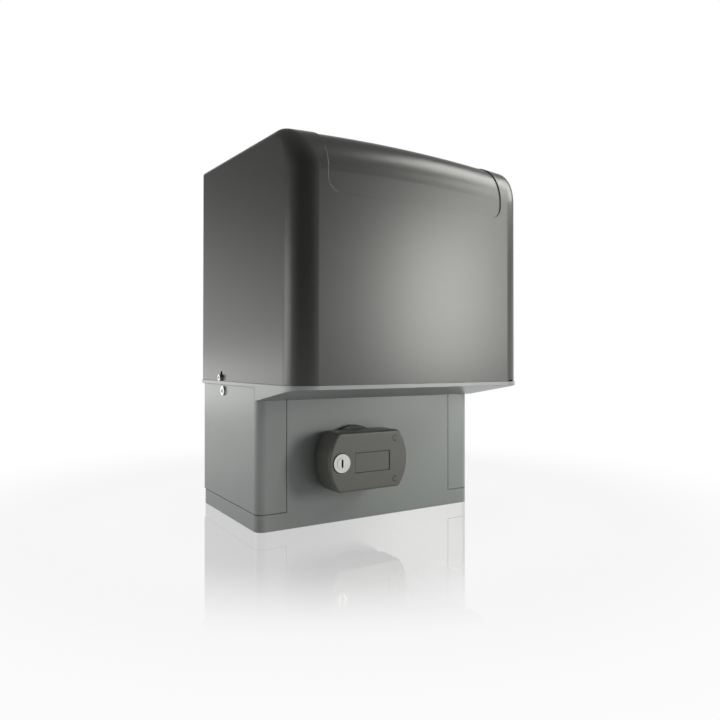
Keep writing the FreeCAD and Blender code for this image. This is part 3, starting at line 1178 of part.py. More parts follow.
def make_supply():
    where = ("capacitor_x", "capacitor_y", TOP)
    can = Piece("run_capacitor")
    bind(can.body, Placement__Base__x=where[0], Placement__Base__y=where[1],
         Placement__Base__z=where[2])
    can.pad("XY", "0", "capacitor_height", circle("0", "0", "capacitor_radius"))
    can.edges("2", lambda e: e.BoundBox.ZLength < 0.01)
    for x in ("-7", "7"):
        can.pad("XY", "capacitor_height - 1", "capacitor_height + 8",
                rectangle(f"{x} - 0.4", "-3", f"{x} + 0.4", "3"))
    keep("run_capacitor", can.body)
    band = ring("clamp_band", step(where, "Z", "18"), "Z", "capacitor_radius + 2.3",
                "capacitor_radius + run", "10")
    leg = block("clamp_leg", ("capacitor_x + capacitor_radius + 0.5", "capacitor_y - 6", TOP),
                ("capacitor_x + capacitor_radius + 2.3", "capacitor_y + 6", f"{TOP} + 20"))
    foot = block("clamp_foot", ("capacitor_x + capacitor_radius + 0.5", "capacitor_y - 6", TOP),
                 ("capacitor_x + capacitor_radius + 9", "capacitor_y + 6", f"{TOP} + 2"))
    keep("capacitor_clamp", fuse("capacitor_clamp", band, leg, foot))

    x, y = "transformer_x", "transformer_y"
    core = Piece("transformer_core")
    core.pad("XZ", f"{y} - 11", f"{y} + 11",
             rectangle(f"{x} - 30", TOP, f"{x} + 30", f"{TOP} + 50"),
             rectangle(f"{x} - 20", f"{TOP} + 10", f"{x} - 10", f"{TOP} + 40"),
             rectangle(f"{x} + 10", f"{TOP} + 10", f"{x} + 20", f"{TOP} + 40"))
    keep("transformer_core", core.body)
    coil = cut("transformer_coil",
               block("coil_block", (f"{x} - 19.7", f"{y} - 20", f"{TOP} + 10.3"),
                     (f"{x} + 19.7", f"{y} + 20", f"{TOP} + 39.7")),
               block("coil_core_way", (f"{x} - 10.3", f"{y} - 11.3", f"{TOP} + 10"),
                     (f"{x} + 10.3", f"{y} + 11.3", f"{TOP} + 40")))
    keep("transformer_coil", coil)

    sensor = Piece("limit_sensor")
    far = "hood_rear - hood_wall - upstand_gap - tray_wall - gap"
    sensor.pad("XY", TOP, f"{TOP} + 24", rectangle("shaft_x - 20", f"{far} - 11", "shaft_x + 20", far))
    sensor.pad("XY", TOP, f"{TOP} + 3", rectangle("shaft_x - 30", f"{far} - 11", "shaft_x + 30", far))
    keep("limit_sensor", sensor.body)

    lip = Piece("cable_grommet")
    bind(lip.body, Placement__Base__x="duct_x + 3", Placement__Base__y="grommet_y",
         Placement__Base__z=TRAY_LOW)
    bore = "duct_bore - 4"
    lip.turn("XZ", points((f"{bore} - 3", "-2"), (f"{bore} + 2.5", "-2"), (f"{bore} + 2.5", "-0.05"),
                          (f"{bore} - 0.05", "-0.05"), (f"{bore} - 0.05", "tray_plate + 0.05"),
                          (f"{bore} + 2.5", "tray_plate + 0.05"), (f"{bore} + 1.5", "tray_plate + 2"),
                          (f"{bore} - 3", "tray_plate + 2")), upright=True)
    keep("cable_grommet", lip.body)


make_supply()

# ---------------------------------------------------------------- check and write
doc.recompute()
faults = []
for item in doc.Objects:
    if "Invalid" in item.State or "Error" in item.State:
        faults.append(f"{item.Name}: {item.State}")
for label, item in parts.items():
    if item.Shape.isNull() or not item.Shape.isValid() or not item.Shape.Solids:
        faults.append(f"{label}: bad shape")
if faults:
    raise RuntimeError("; ".join(faults))
os.makedirs("parts", exist_ok=True)
for label, item in parts.items():
    item.Shape.exportStep(f"parts/{label}.step")
print(len(parts), "nodes written")
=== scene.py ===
# %% [markdown]
# A sliding gate motor is a gearbox and a motor on a steel plate, inside a plastic case, under a tall hood.
# Every solid of it comes ready from the CAD model. This script gives those solids their finishes, rounds
# the shading where the real part is round, and adds what is too small to be worth a solid: the terminal
# screws, the parts on the circuit board and the marks on the handle.

# %% Load the CAD model
import json
import math

import bmesh
import bpy
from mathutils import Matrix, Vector


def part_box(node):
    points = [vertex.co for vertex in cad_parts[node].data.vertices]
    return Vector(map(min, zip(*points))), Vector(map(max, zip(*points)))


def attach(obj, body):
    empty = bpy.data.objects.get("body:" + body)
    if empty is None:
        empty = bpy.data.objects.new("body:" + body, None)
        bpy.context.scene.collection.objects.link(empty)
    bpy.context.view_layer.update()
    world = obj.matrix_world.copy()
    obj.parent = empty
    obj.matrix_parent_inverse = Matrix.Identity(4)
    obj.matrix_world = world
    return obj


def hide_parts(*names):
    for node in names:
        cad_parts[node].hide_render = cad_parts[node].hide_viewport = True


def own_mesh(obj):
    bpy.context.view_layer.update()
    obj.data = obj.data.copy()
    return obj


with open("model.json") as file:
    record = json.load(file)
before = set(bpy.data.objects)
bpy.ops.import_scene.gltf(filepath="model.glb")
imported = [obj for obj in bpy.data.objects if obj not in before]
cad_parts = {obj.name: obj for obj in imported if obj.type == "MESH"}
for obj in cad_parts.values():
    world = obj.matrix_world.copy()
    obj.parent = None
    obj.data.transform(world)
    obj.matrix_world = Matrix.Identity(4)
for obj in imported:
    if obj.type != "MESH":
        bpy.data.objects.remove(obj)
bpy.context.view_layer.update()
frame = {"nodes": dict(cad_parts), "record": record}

MM = 0.001
nodes, record = frame["nodes"], frame["record"]

# %% [markdown]
# The motor is seen from its front left, with the eye at the height of its lower case. The camera is level,
# so every upright edge stays upright, and a lens of 31 mm this close makes the near corner of the hood tower.

# %% Camera
EYE = Vector((-0.3245, -0.5675, 0.1469))
TURN = math.radians(-31.89)
LENS, SENSOR, RISE = 31.1, 36.0, 0.0024
camera_data = bpy.data.cameras.new("camera")
camera_data.lens, camera_data.sensor_width, camera_data.shift_y = LENS, SENSOR, RISE
camera = bpy.data.objects.new("camera", camera_data)
camera.location, camera.rotation_euler = EYE, (math.pi / 2, 0, TURN)
bpy.context.scene.collection.objects.link(camera)
bpy.context.scene.camera = camera
bpy.context.scene.view_settings.view_transform = "Standard"
print("camera", round(EYE.length, 2), "m from the middle of the base, with a lens of", LENS, "mm")

# %% [markdown]
# Two small functions carry all the materials. Colours are written the way a paint chart gives them, as sRGB
# hex, and turned to the linear light that a shader works in. A node is added with its settings and its
# inputs in one line, where an input is either a value or another node with the name of its output.

# %% Colour and node helpers
def linear(code):
    """The linear colour of an sRGB hex code such as "8a8e8c"."""
    shares = [int(code[i:i + 2], 16) / 255 for i in (0, 2, 4)]
    return [c / 12.92 if c <= 0.04045 else ((c + 0.055) / 1.055) ** 2.4 for c in shares] + [1.0]


def add(owner, kind, inputs=None, **settings):
    """Adds one node to a material, world or node group, with its settings, values and links."""
    tree = owner if isinstance(owner, bpy.types.NodeTree) else owner.node_tree
    node = tree.nodes.new(kind)
    for name, value in settings.items():
        setattr(node, name, value)
    for name, value in (inputs or {}).items():
        if isinstance(value, tuple) and isinstance(value[0], bpy.types.Node):
            tree.links.new(value[0].outputs[value[1]], node.inputs[name])
        else:
            node.inputs[name].default_value = value
    return node


def start(name):
    """A new material with an empty tree and the object's own coordinates, in metres."""
    material = bpy.data.materials.new(name)
    material.use_nodes = True
    material.node_tree.nodes.clear()
    return material, (add(material, "ShaderNodeTexCoord"), "Object")


def finish(material, shader):
    """Links the last shader to the material's output."""
    add(material, "ShaderNodeOutputMaterial", {"Surface": (shader, 0)})
    return material


print("8a8e8c in linear light is", [round(share, 3) for share in linear("8a8e8c")[:3]])

# %% [markdown]
# The floor is a sheet of white gloss board. Close to the motor it mirrors the case, as polished board does
# at a low angle, and further out the gloss and the shading fade into plain white, so no horizon shows.

# %% Floor
FLOOR_SIDE = 12.0
MIRROR, GLOSS_FROM, GLOSS_TO = 0.38, 0.20, 0.33  # share of gloss, and where it fades, in metres from the middle
WHITE_NEAR, WHITE_FROM, WHITE_TO = 0.80, 0.15, 0.55  # share of plain white, and where it takes over
board, place = start("white_gloss_board")
level_place = add(board, "ShaderNodeVectorMath", {0: place, 1: (1, 1, 0)}, operation="MULTIPLY")
away = add(board, "ShaderNodeVectorMath", {0: (level_place, 0)}, operation="LENGTH")
near = add(board, "ShaderNodeMapRange", {"Value": (away, "Value"), "From Min": GLOSS_FROM, "From Max": GLOSS_TO,
                                         "To Min": MIRROR, "To Max": 0.0}, interpolation_type="SMOOTHSTEP")
far = add(board, "ShaderNodeMapRange", {"Value": (away, "Value"), "From Min": WHITE_FROM, "From Max": WHITE_TO,
                                        "To Min": WHITE_NEAR, "To Max": 1.0}, interpolation_type="SMOOTHSTEP")
ray = add(board, "ShaderNodeLightPath")
seen = add(board, "ShaderNodeMath", {0: (ray, "Is Camera Ray"), 1: (ray, "Is Glossy Ray")}, operation="MAXIMUM")
seen = add(board, "ShaderNodeMath", {0: (seen, 0), 1: (ray, "Is Transmission Ray")}, operation="MAXIMUM")
fade = add(board, "ShaderNodeMath", {0: (seen, 0), 1: (far, 0)}, operation="MULTIPLY")
matt = add(board, "ShaderNodeBsdfDiffuse", {"Color": linear("f9f9f9")})
white = add(board, "ShaderNodeEmission", {"Color": linear("ffffff"), "Strength": 1.0})
paper = add(board, "ShaderNodeMixShader", {0: (fade, 0), 1: (matt, 0), 2: (white, 0)})
shine = add(board, "ShaderNodeBsdfGlossy", {"Color": linear("ffffff"), "Roughness": 0.02})
finish(board, add(board, "ShaderNodeMixShader", {0: (near, 0), 1: (paper, 0), 2: (shine, 0)}))

sheet = bpy.data.meshes.new("floor")
half = FLOOR_SIDE / 2
sheet.from_pydata([(-half, -half, 0), (half, -half, 0), (half, half, 0), (-half, half, 0)], [], [(0, 1, 2, 3)])
sheet.materials.append(board)
floor = bpy.data.objects.new("floor", sheet)
bpy.context.scene.collection.objects.link(floor)
print("floor", FLOOR_SIDE, "m square, mirrors out to", GLOSS_TO, "m")

# %% [markdown]
# The studio is white to the eye and in glass. As a source of light, and mirrored in gloss, it is brightest
# at the horizon behind and beside the motor and dark where the viewer stands, which is what draws the near
# corner of the hood as a dark upright line between two lighter faces.

# %% Surroundings
HORIZON, OVERHEAD, OVERHEAD_FROM = 1.2, 0.22, 0.30  # brightness low and high, and the height where it is high
FRONT = (-0.53, -0.848, 0.0)  # the way from the motor towards its front left
DARK_SIDE, DARK_FROM, DARK_FULL = 0.06, 0.45, 0.93  # share of light left there, over these cosines to FRONT
BACK_FROM, BACK_FULL = -0.70, -0.86  # cosines to FRONT between which the light turns to plain white behind
world = bpy.data.worlds.new("studio")
world.use_nodes = True
world.node_tree.nodes.clear()
ray = add(world, "ShaderNodeLightPath")
seen = add(world, "ShaderNodeMath", {0: (ray, "Is Camera Ray"), 1: (ray, "Is Transmission Ray")},
           operation="MAXIMUM")
way = add(world, "ShaderNodeTexCoord")
height = add(world, "ShaderNodeSeparateXYZ", {0: (way, "Generated")})
upward = add(world, "ShaderNodeMapRange", {"Value": (height, "Z"), "From Min": 0.0, "From Max": OVERHEAD_FROM,
                                           "To Min": HORIZON, "To Max": OVERHEAD}, interpolation_type="SMOOTHSTEP")
facing = add(world, "ShaderNodeVectorMath", {0: (way, "Generated"), 1: FRONT}, operation="DOT_PRODUCT")
behind = add(world, "ShaderNodeMapRange", {"Value": (facing, "Value"), "From Min": DARK_FROM, "From Max": DARK_FULL,
                                           "To Min": 1.0, "To Max": DARK_SIDE}, interpolation_type="SMOOTHSTEP")
glow = add(world, "ShaderNodeMath", {0: (upward, 0), 1: (behind, 0)}, operation="MULTIPLY")
backing = add(world, "ShaderNodeMapRange", {"Value": (facing, "Value"), "From Min": BACK_FROM, "From Max": BACK_FULL,
                                            "To Min": 0.0, "To Max": 1.0}, interpolation_type="SMOOTHSTEP")
glow = add(world, "ShaderNodeMix", {0: (backing, 0), 2: (glow, 0), 3: 1.0})
level = add(world, "ShaderNodeMix", {0: (seen, 0), 2: (glow, 0), 3: 1.0})
add(world, "ShaderNodeOutputWorld", {"Surface": (
    add(world, "ShaderNodeBackground", {"Color": linear("ffffff"), "Strength": (level, 0)}), 0)})
bpy.context.scene.world = world
print("studio", HORIZON, "bright at the horizon,", OVERHEAD, "overhead")

# %% [markdown]
# Soft boxes do the shaping. Three to the right, from low to high, draw one band of light over the front of
# the hood and along its brow. Two low at the left brighten the foot of its side, and the ceiling gives
# the plain light that all colours are judged by. The shaping lamps are linked away from the floor, whose
# gloss would otherwise show them as hard white panes from some sides, and for the same reason the ceiling
# lights the scene but isn't mirrored. What they leave out is kept in one collection, whose members are all
# set to be left out once the last of them is made.

# %% Soft boxes
room_light_only = bpy.data.collections.new("lit_by_room_only")
room_light_only.objects.link(floor)
WARM_WHITE = "fffefa"


def soft_box(name, at, towards, width, height, radiance):
    """An area lamp of the given size in metres, aimed at a point; radiance is its brightness as seen."""
    data = bpy.data.lights.new(name, "AREA")
    data.shape, data.size, data.size_y = "RECTANGLE", width, height
    data.energy = radiance * width * height * math.pi
    data.color = linear(WARM_WHITE)[:3]
    lamp = bpy.data.objects.new(name, data)
    lamp.location = at
    lamp.rotation_euler = (Vector(towards) - Vector(at)).to_track_quat("-Z", "Y").to_euler()
    bpy.context.scene.collection.objects.link(lamp)
    if name == "ceiling":
        lamp.visible_glossy = False
    else:
        lamp.light_linking.receiver_collection = room_light_only
    print("lamp", name, width, "by", height, "m")


# name, place and aim in metres, width and height in metres, brightness
soft_box("front_right", (0.95, -1.26, 0.34), (0.07, -0.1, 0.2), 0.26, 0.50, 19.0)
soft_box("between", (1.04, -0.94, 0.88), (0.09, -0.1, 0.3), 0.36, 0.55, 7.0)
soft_box("left_low", (-1.30, 0.55, 0.25), (-0.12, 0.0, 0.1), 0.9, 0.5, 2.5)
soft_box("back_left", (-1.00, 1.20, 0.05), (-0.1, 0.0, 0.05), 1.40, 0.20, 2.2)
soft_box("high_right", (1.03, -0.34, 1.05), (0.09, -0.1, 0.33), 0.6, 1.0, 6.3)
soft_box("ceiling", (-0.4, -0.5, 1.9), (0.0, 0.0, 0.1), 2.2, 1.6, 1.1)

# %% [markdown]
# Moulded plastic is never one flat colour: the mould's spark-eroded grain breaks up the gloss, and the melt
# flows in slightly different tones. ABS has an IOR of about 1.54. The grain is 0.4 mm on the real part and is
# drawn at 1 mm or a little less, because finer grain would vanish between the camera's samples. The gloss
# parts have a shallow ripple of 2.5 mm instead, as polished tools give. A bevel in the shading rounds every edge
# by half a millimetre, as a mould does, without a change to the shape.

# %% Moulded plastics
FLOW = 18.0  # swirls of tone in a metre, so one is about 55 mm
SWING = 0.04  # how far the grain moves the roughness to each side
EDGE, EDGE_RAYS = 0.5, 6  # radius of the rounded edges in millimetres, and the rays that look for them


def moulded(name, colour, roughness, grain=1.0, depth=0.02, tone=0.04, ior=1.54):
    """An injection moulded plastic: grain in millimetres, depth in millimetres, tone a share of the colour."""
    material, place = start(name)
    cloud = add(material, "ShaderNodeTexNoise", {"Vector": place, "Scale": FLOW, "Detail": 3.0})
    speck = add(material, "ShaderNodeTexNoise", {"Vector": place, "Scale": 1000.0 / grain, "Detail": 2.0})
    base = linear(colour)
    pale, dark = [c * (1 + tone) for c in base[:3]] + [1], [c * (1 - tone) for c in base[:3]] + [1]
    shade = add(material, "ShaderNodeMix", {0: (cloud, "Fac"), 6: dark, 7: pale}, data_type="RGBA")
    gloss = add(material, "ShaderNodeMapRange", {"Value": (speck, "Fac"), "To Min": roughness - SWING,
                                                 "To Max": roughness + SWING})
    rounded = add(material, "ShaderNodeBevel", {"Radius": EDGE * MM}, samples=EDGE_RAYS)
    bump = add(material, "ShaderNodeBump", {"Height": (speck, "Fac"), "Distance": depth * MM, "Strength": 0.6,
                                            "Normal": (rounded, 0)})
    return finish(material, add(material, "ShaderNodeBsdfPrincipled", {
        "Base Color": (shade, 2), "Roughness": (gloss, 0), "Normal": (bump, 0), "IOR": ior}))


# Spark-eroded ABS: dark, with a soft highlight that breaks up on the grain.
hood_abs = moulded("grained_abs_anthracite", "2b2c29", 0.31, grain=1.0, depth=0.008)
# Polished ABS: a cool mid grey that carries long, slightly wavy reflections.
panel_abs = moulded("gloss_abs_signal_grey", "8f9492", 0.30, grain=2.5, depth=0.002)
# The same ABS from another tool: a shade nearer to neutral.
tray_abs = moulded("gloss_abs_light_grey", "8f9392", 0.30, grain=2.5, depth=0.002)
# Satin ABS: warmer and duller than the panels, so the handle stands out from them.
grip_abs = moulded("satin_abs_umbra_grey", "585953", 0.42, grain=0.8, depth=0.03)
# Glass-filled nylon: black and dry, because the fibres come to the surface.
black_nylon = moulded("glass_filled_nylon_black", "1d1e1e", 0.5, grain=0.7, depth=0.03)
# PBT: the clear, even green of terminal strips, half glossy.
terminal_pbt = moulded("pbt_terminal_green", "1f7a43", 0.38, grain=0.8)
# PBT again, in the blue of relay cases and a little glossier.
relay_pbt = moulded("pbt_relay_blue", "1f4f8f", 0.32, grain=0.8)
# Acetal: waxy and saturated red.
button_acetal = moulded("acetal_button_red", "b3261e", 0.3, grain=0.8)
# Acetal left nearly its own colour, a warm ivory.
trimmer_acetal = moulded("acetal_trimmer_ivory", "e3dcc6", 0.35, grain=0.8)
# Polypropylene: off-white, with a coarse and soft surface.
can_polypropylene = moulded("polypropylene_can_white", "e8e8e2", 0.35, grain=1.5)
# Polyester tape: yellow in uneven tones, where the turns under it press through.
coil_tape = moulded("polyester_tape_yellow", "d9a521", 0.3, grain=3.0, depth=0.05, tone=0.12)
# Nitrile rubber: near black and matt, with hardly a highlight.
rubber = moulded("nitrile_rubber_black", "161616", 0.62, grain=0.8, depth=0.04, ior=1.52)

# %% [markdown]
# Metals take their look from how they were worked. A casting is grainy and dull, a turned or ground face has
# fine rings, zinc plate is bright with a faint mottle, and hot-dip galvanising freezes into flat crystals
# called spangle. A metal keeps the shader's own IOR and is fully metallic. Machining and grinding marks are a
# few hundredths of a millimetre apart on the real parts and are drawn at 0.6 mm, so that they show at all.

# %% Worked metals
GLOSS_SWING, LEAST = 0.08, 0.05  # how far the grain moves the roughness, and the least that it may be


def worked(name, colour, roughness, mottle=4.0, tone=0.08, grain=0.6, depth=0.02, cells=False, stripes=0.0):
    """A metal: mottle and grain are in millimetres, cells gives crystals, stripes is a line's width along Z."""
    material, place = start(name)
    kind = "ShaderNodeTexVoronoi" if cells else "ShaderNodeTexNoise"
    patch = add(material, kind, {"Vector": place, "Scale": 1000.0 / mottle})
    patch = (patch, "Color") if cells else (patch, "Fac")
    base = linear(colour)
    pale, dark = [min(1, c * (1 + tone)) for c in base[:3]] + [1], [c * (1 - tone) for c in base[:3]] + [1]
    shade = add(material, "ShaderNodeMix", {0: patch, 6: dark, 7: pale}, data_type="RGBA")
    speck = add(material, "ShaderNodeTexNoise", {"Vector": place, "Scale": 1000.0 / grain, "Detail": 3.0})
    relief = (speck, "Fac")
    if stripes:  # at scale 1 the wave repeats every pi / 10, and a line is half of that
        lines = add(material, "ShaderNodeTexWave", {"Vector": place, "Scale": 1000.0 / stripes / 20 * math.pi},
                    bands_direction="Z")
        relief = (add(material, "ShaderNodeMath", {0: (speck, "Fac"), 1: (lines, "Fac")}), 0)
        depth *= 3
    least, most = max(LEAST, roughness - GLOSS_SWING), roughness + GLOSS_SWING
    gloss = add(material, "ShaderNodeMapRange", {"Value": (speck, "Fac"), "To Min": least, "To Max": most})
    bump = add(material, "ShaderNodeBump", {"Height": relief, "Distance": depth * MM, "Strength": 0.7})
    return finish(material, add(material, "ShaderNodeBsdfPrincipled", {
        "Base Color": (shade, 2), "Metallic": 1.0, "Roughness": (gloss, 0), "Normal": (bump, 0)}))


# Chrome plate on zinc: the sharpest mirror on the motor.
chrome = worked("chrome_plated_zinc", "c3c4c2", 0.14, tone=0.04, depth=0.006)
# Nickel on brass: a mirror too, but softer and a touch yellow.
nickel_brass = worked("nickel_plated_brass", "c2c0b8", 0.24, tone=0.06, depth=0.010)
# Zinc plate: pale and slightly blue, mottled where the bath ran.
zinc_plate = worked("zinc_plated_steel", "b7babd", 0.30, mottle=3.0)
# Hot-dip galvanising: crystals of clearly different greys, 9 mm across.
spangle = worked("galvanised_steel", "a9adb0", 0.38, mottle=9.0, tone=0.18, cells=True)
# A die casting: dull grey with the coarse skin of the die.
casting = worked("die_cast_aluminium", "a7a9ab", 0.48, mottle=12.0, grain=1.2, depth=0.10)
# The same metal after turning: brighter and smoother.
machined = worked("machined_aluminium", "bcbec1", 0.34, mottle=12.0, grain=0.8, depth=0.05)
# Ground steel: even and nearly a mirror.
ground_steel = worked("ground_steel", "9fa1a3", 0.22, depth=0.006)
# Case-hardened steel: darker, from the heat.
hard_steel = worked("case_hardened_steel", "77787a", 0.30, depth=0.015)
# Gear bronze: yellow brown, in uneven tones.
bronze = worked("gear_bronze", "b5894a", 0.30, tone=0.10, depth=0.02)
# Oil-tempered wire: almost black, with a dim shine.
spring_wire = worked("oil_tempered_spring_wire", "4d4e52", 0.35, depth=0.01)
# Stacked sheets: fine lines up the stack. Real sheets are 0.5 mm, and are drawn 1 mm wide to show.
laminated = worked("electrical_steel_laminations", "70757c", 0.45, stripes=1.0, depth=0.05)
# Enamelled wire: red brown turns. Real wire is about 0.6 mm, and is drawn 1.2 mm wide to show.
copper = worked("enamelled_copper_wire", "a8512c", 0.26, mottle=2.0, tone=0.25, stripes=1.2, depth=0.08)

# %% [markdown]
# A circuit board is glass fibre under a coloured, glossy solder mask. Copper tracks run under the mask as
# slightly lighter bands. They are a plain repeating pattern here, because the hood hides the board: a brick
# texture, whose mortar is the track. It is turned upright first, since a brick texture lies in X and Y.

# %% Circuit board laminate
def laminate(name, mask, track):
    """Solder mask over tracks 1.6 mm wide on a grid of 5 mm."""
    material, place = start(name)
    cells = add(material, "ShaderNodeTexBrick", {"Vector": place, "Scale": 200.0, "Mortar Size": 0.10,
                                                 "Mortar Smooth": 0.1, "Brick Width": 2.6, "Row Height": 0.5,
                                                 "Color1": linear(mask), "Color2": linear(mask),
                                                 "Mortar": linear(track)})
    turned = add(material, "ShaderNodeMapping", {"Vector": place, "Rotation": (math.pi / 2, 0, 0)})
    material.node_tree.links.new(turned.outputs[0], cells.inputs["Vector"])
    bump = add(material, "ShaderNodeBump", {"Height": (cells, "Fac"), "Distance": 0.05 * MM, "Strength": 0.8})
    return finish(material, add(material, "ShaderNodeBsdfPrincipled", {
        "Base Color": (cells, "Color"), "Roughness": 0.22, "IOR": 1.55, "Normal": (bump, 0)}))


# Green mask: tracks show only as a slightly lighter green.
green_board = laminate("fibreglass_board_green", "0f5a30", "186b3c")
# Blue mask, as plug-in radio boards often have, which sets the receiver apart.
blue_board = laminate("fibreglass_board_blue", "17407a", "1f4d8c")

# %% [markdown]
# The fuse is a glass tube with nickel caps in an open holder. One material serves both: the tube lies in the
# middle of the holder, so a band across X is glassy and the rest is black holder.

# %% Fuse glass
GLASS_HALF = 5.5  # half the length of bare glass, in millimetres
glass_fuse, place = start("fuse_in_holder")
along = add(glass_fuse, "ShaderNodeSeparateXYZ", {0: place})
low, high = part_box("fuse")
middle_x = (low.x + high.x) / 2
offset = add(glass_fuse, "ShaderNodeMath", {0: (along, "X"), 1: middle_x}, operation="SUBTRACT")
offset = add(glass_fuse, "ShaderNodeMath", {0: (offset, 0)}, operation="ABSOLUTE")
is_cap = add(glass_fuse, "ShaderNodeMath", {0: (offset, 0), 1: GLASS_HALF * MM}, operation="GREATER_THAN")
paint = add(glass_fuse, "ShaderNodeMix", {0: (is_cap, 0), 6: linear("c8cfc9"), 7: linear("222222")},
            data_type="RGBA")
finish(glass_fuse, add(glass_fuse, "ShaderNodeBsdfPrincipled", {
    "Base Color": (paint, 2), "Roughness": 0.12, "IOR": 1.5}))
print("materials so far:", len(bpy.data.materials))

# %% [markdown]
# Every solid gets its finish from one table, so none is left plain. Turned and cast parts arrive as loose
# flat triangles, which would show as facets. A copy of each is merged into one skin and shaded smooth, with
# the true corners kept sharp, and it stands in for its solid on the same body. Boxy parts and the large
# mouldings keep their own mesh: smooth shading would bend the light over their flats and hide their seams,
# and the bevel in their material rounds the edges already. The bare aluminium of the motor takes only the
# room's light, because the shaping lamps would burn out its flat end.

# %% Finish of each solid
FINISHES = {
    hood_abs: ["hood"],
    panel_abs: ["base_skirt", "side_panel_left", "side_panel_right", "rear_panel"],
    tray_abs: ["tray"],
    grip_abs: ["release_handle"],
    black_nylon: ["handle_bezel", "board_carrier", "control_cases", "limit_sensor", "thrust_washer"],
    chrome: ["lock_cylinder"],
    nickel_brass: ["key_plug"],
    zinc_plate: ["case_screws", "foot_bolts", "levelling_screws", "small_screws", "capacitor_clamp",
                 "bearing_retainer", "drive_pinion", "pinion_retainer", "lock_tongue"],
    spangle: ["base_plate"],
    casting: ["gearbox_housing", "gearbox_cover"],
    machined: ["motor_frame", "motor_end_cap"],
    ground_steel: ["output_shaft", "worm_shaft", "guide_pins", "push_rod", "clutch_pin", "handle_spindle",
                   "output_bearings", "worm_bearings"],
    hard_steel: ["clutch_dog", "release_cam", "cam_follower", "pinion_key"],
    bronze: ["worm_wheel"],
    spring_wire: ["clutch_spring"],
    laminated: ["stator_core", "rotor_core", "transformer_core"],
    copper: ["stator_windings"],
    rubber: ["shaft_seal", "cable_grommet"],
    green_board: ["circuit_board"],
    blue_board: ["radio_receiver"],
    terminal_pbt: ["terminal_blocks"],
    relay_pbt: ["relays_and_chip"],
    glass_fuse: ["fuse"],
    button_acetal: ["learn_button", "open_button", "close_button"],
    trimmer_acetal: ["force_trimmer", "pause_trimmer"],
    can_polypropylene: ["run_capacitor"],
    coil_tape: ["transformer_coil"],
}
FLAT = {"circuit_board", "radio_receiver", "transformer_core", "transformer_coil", "board_carrier",
        "pinion_key", "rear_panel", "limit_sensor", "lock_tongue",
        "hood", "tray", "base_skirt", "side_panel_left", "side_panel_right", "release_handle"}
BODIES = {node: body for body, members in record["behaviour"]["bodies"].items() for node in members}
WELD = 2e-6  # metres between corners that count as one
CREASE, COIL_CREASE = 25, 40  # degrees from which an edge stays sharp; the coil's wire has twelve flats


def smooth_skin(node):
    """A merged, smooth-shaded copy of a solid that stands in for it on its own body."""
    shape = bmesh.new()
    shape.from_mesh(nodes[node].data)
    bmesh.ops.remove_doubles(shape, verts=shape.verts, dist=WELD)
    mesh = bpy.data.meshes.new(f"{node}_skin")
    shape.to_mesh(mesh)
    shape.free()
    mesh.materials.clear()
    mesh.materials.append(nodes[node].data.materials[0])
    mesh.polygons.foreach_set("use_smooth", [True] * len(mesh.polygons))
    mesh.set_sharp_from_angle(angle=math.radians(COIL_CREASE if node == "clutch_spring" else CREASE))
    skin = bpy.data.objects.new(f"{node}_skin", mesh)
    bpy.context.scene.collection.objects.link(skin)
    weighted = skin.modifiers.new("weighted", "WEIGHTED_NORMAL")
    weighted.keep_sharp = True
    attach(skin, BODIES[node])
    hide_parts(node)


for finish_of, members in FINISHES.items():
    for node in members:
        nodes[node].data.materials.clear()
        nodes[node].data.materials.append(finish_of)
        if node not in FLAT:
            smooth_skin(node)
for name in ("motor_frame_skin", "motor_end_cap_skin"):
    room_light_only.objects.link(bpy.data.objects[name])
for linked in room_light_only.collection_objects:
    linked.light_linking.link_state = "EXCLUDE"
dressed = sum(len(members) for members in FINISHES.values())
print(dressed, "solids finished,", dressed - len(FLAT), "of them smoothed")
assert dressed == len(nodes)

# %% [markdown]
# The clutch spring stays seated against the pinion end and shortens as the clutch dog backs off. Here its smooth
# skin only gets a mesh of its own, and its length is left as it is.

# %% Clutch spring
spring = bpy.data.objects["clutch_spring_skin"]
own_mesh(spring)

# %% [markdown]
# Small repeated parts are laid out by Geometry Nodes. One tree serves every row and field of them: a grid of
# places, thinned at random with a fixed seed, and on each place a short line of blocks, which makes a chip's
# body or its two tinned ends. Each is turned by a quarter at random. The tree's sizes are inputs, so one
# tree makes them all, and the same seed puts the ends on the bodies.

# %% Field of small parts
def new_tree(name, sizes):
    """A geometry tree with one named input for each size; returns the tree and its inputs as a node."""
    tree = bpy.data.node_groups.new(name, "GeometryNodeTree")
    tree.interface.new_socket("Geometry", in_out="OUTPUT", socket_type="NodeSocketGeometry")
    for label, kind in sizes.items():
        tree.interface.new_socket(label, in_out="INPUT", socket_type=f"NodeSocket{kind}")
    return tree, tree.nodes.new("NodeGroupInput")


TURN_SEED = 7
field, sizes = new_tree("field_of_parts", {
    "Field": "Vector", "Columns": "Int", "Rows": "Int", "Share": "Float", "Seed": "Int", "Count": "Int",
    "First": "Vector", "Step": "Vector", "Block": "Vector", "Centre": "Vector", "Finish": "Material"})
extent = add(field, "ShaderNodeSeparateXYZ", {0: (sizes, "Field")})
grid = add(field, "GeometryNodeMeshGrid", {"Size X": (extent, "X"), "Size Y": (extent, "Y"),
                                           "Vertices X": (sizes, "Columns"), "Vertices Y": (sizes, "Rows")})
places = add(field, "GeometryNodeMeshToPoints", {"Mesh": (grid, "Mesh")})
keep = add(field, "FunctionNodeRandomValue", {"Probability": (sizes, "Share"), "Seed": (sizes, "Seed")},
           data_type="BOOLEAN")
drop = add(field, "FunctionNodeBooleanMath", {0: (keep, 3)}, operation="NOT")
thinned = add(field, "GeometryNodeDeleteGeometry", {"Geometry": (places, 0), "Selection": (drop, 0)},
              domain="POINT")
block = add(field, "GeometryNodeMeshCube", {"Size": (sizes, "Block")})
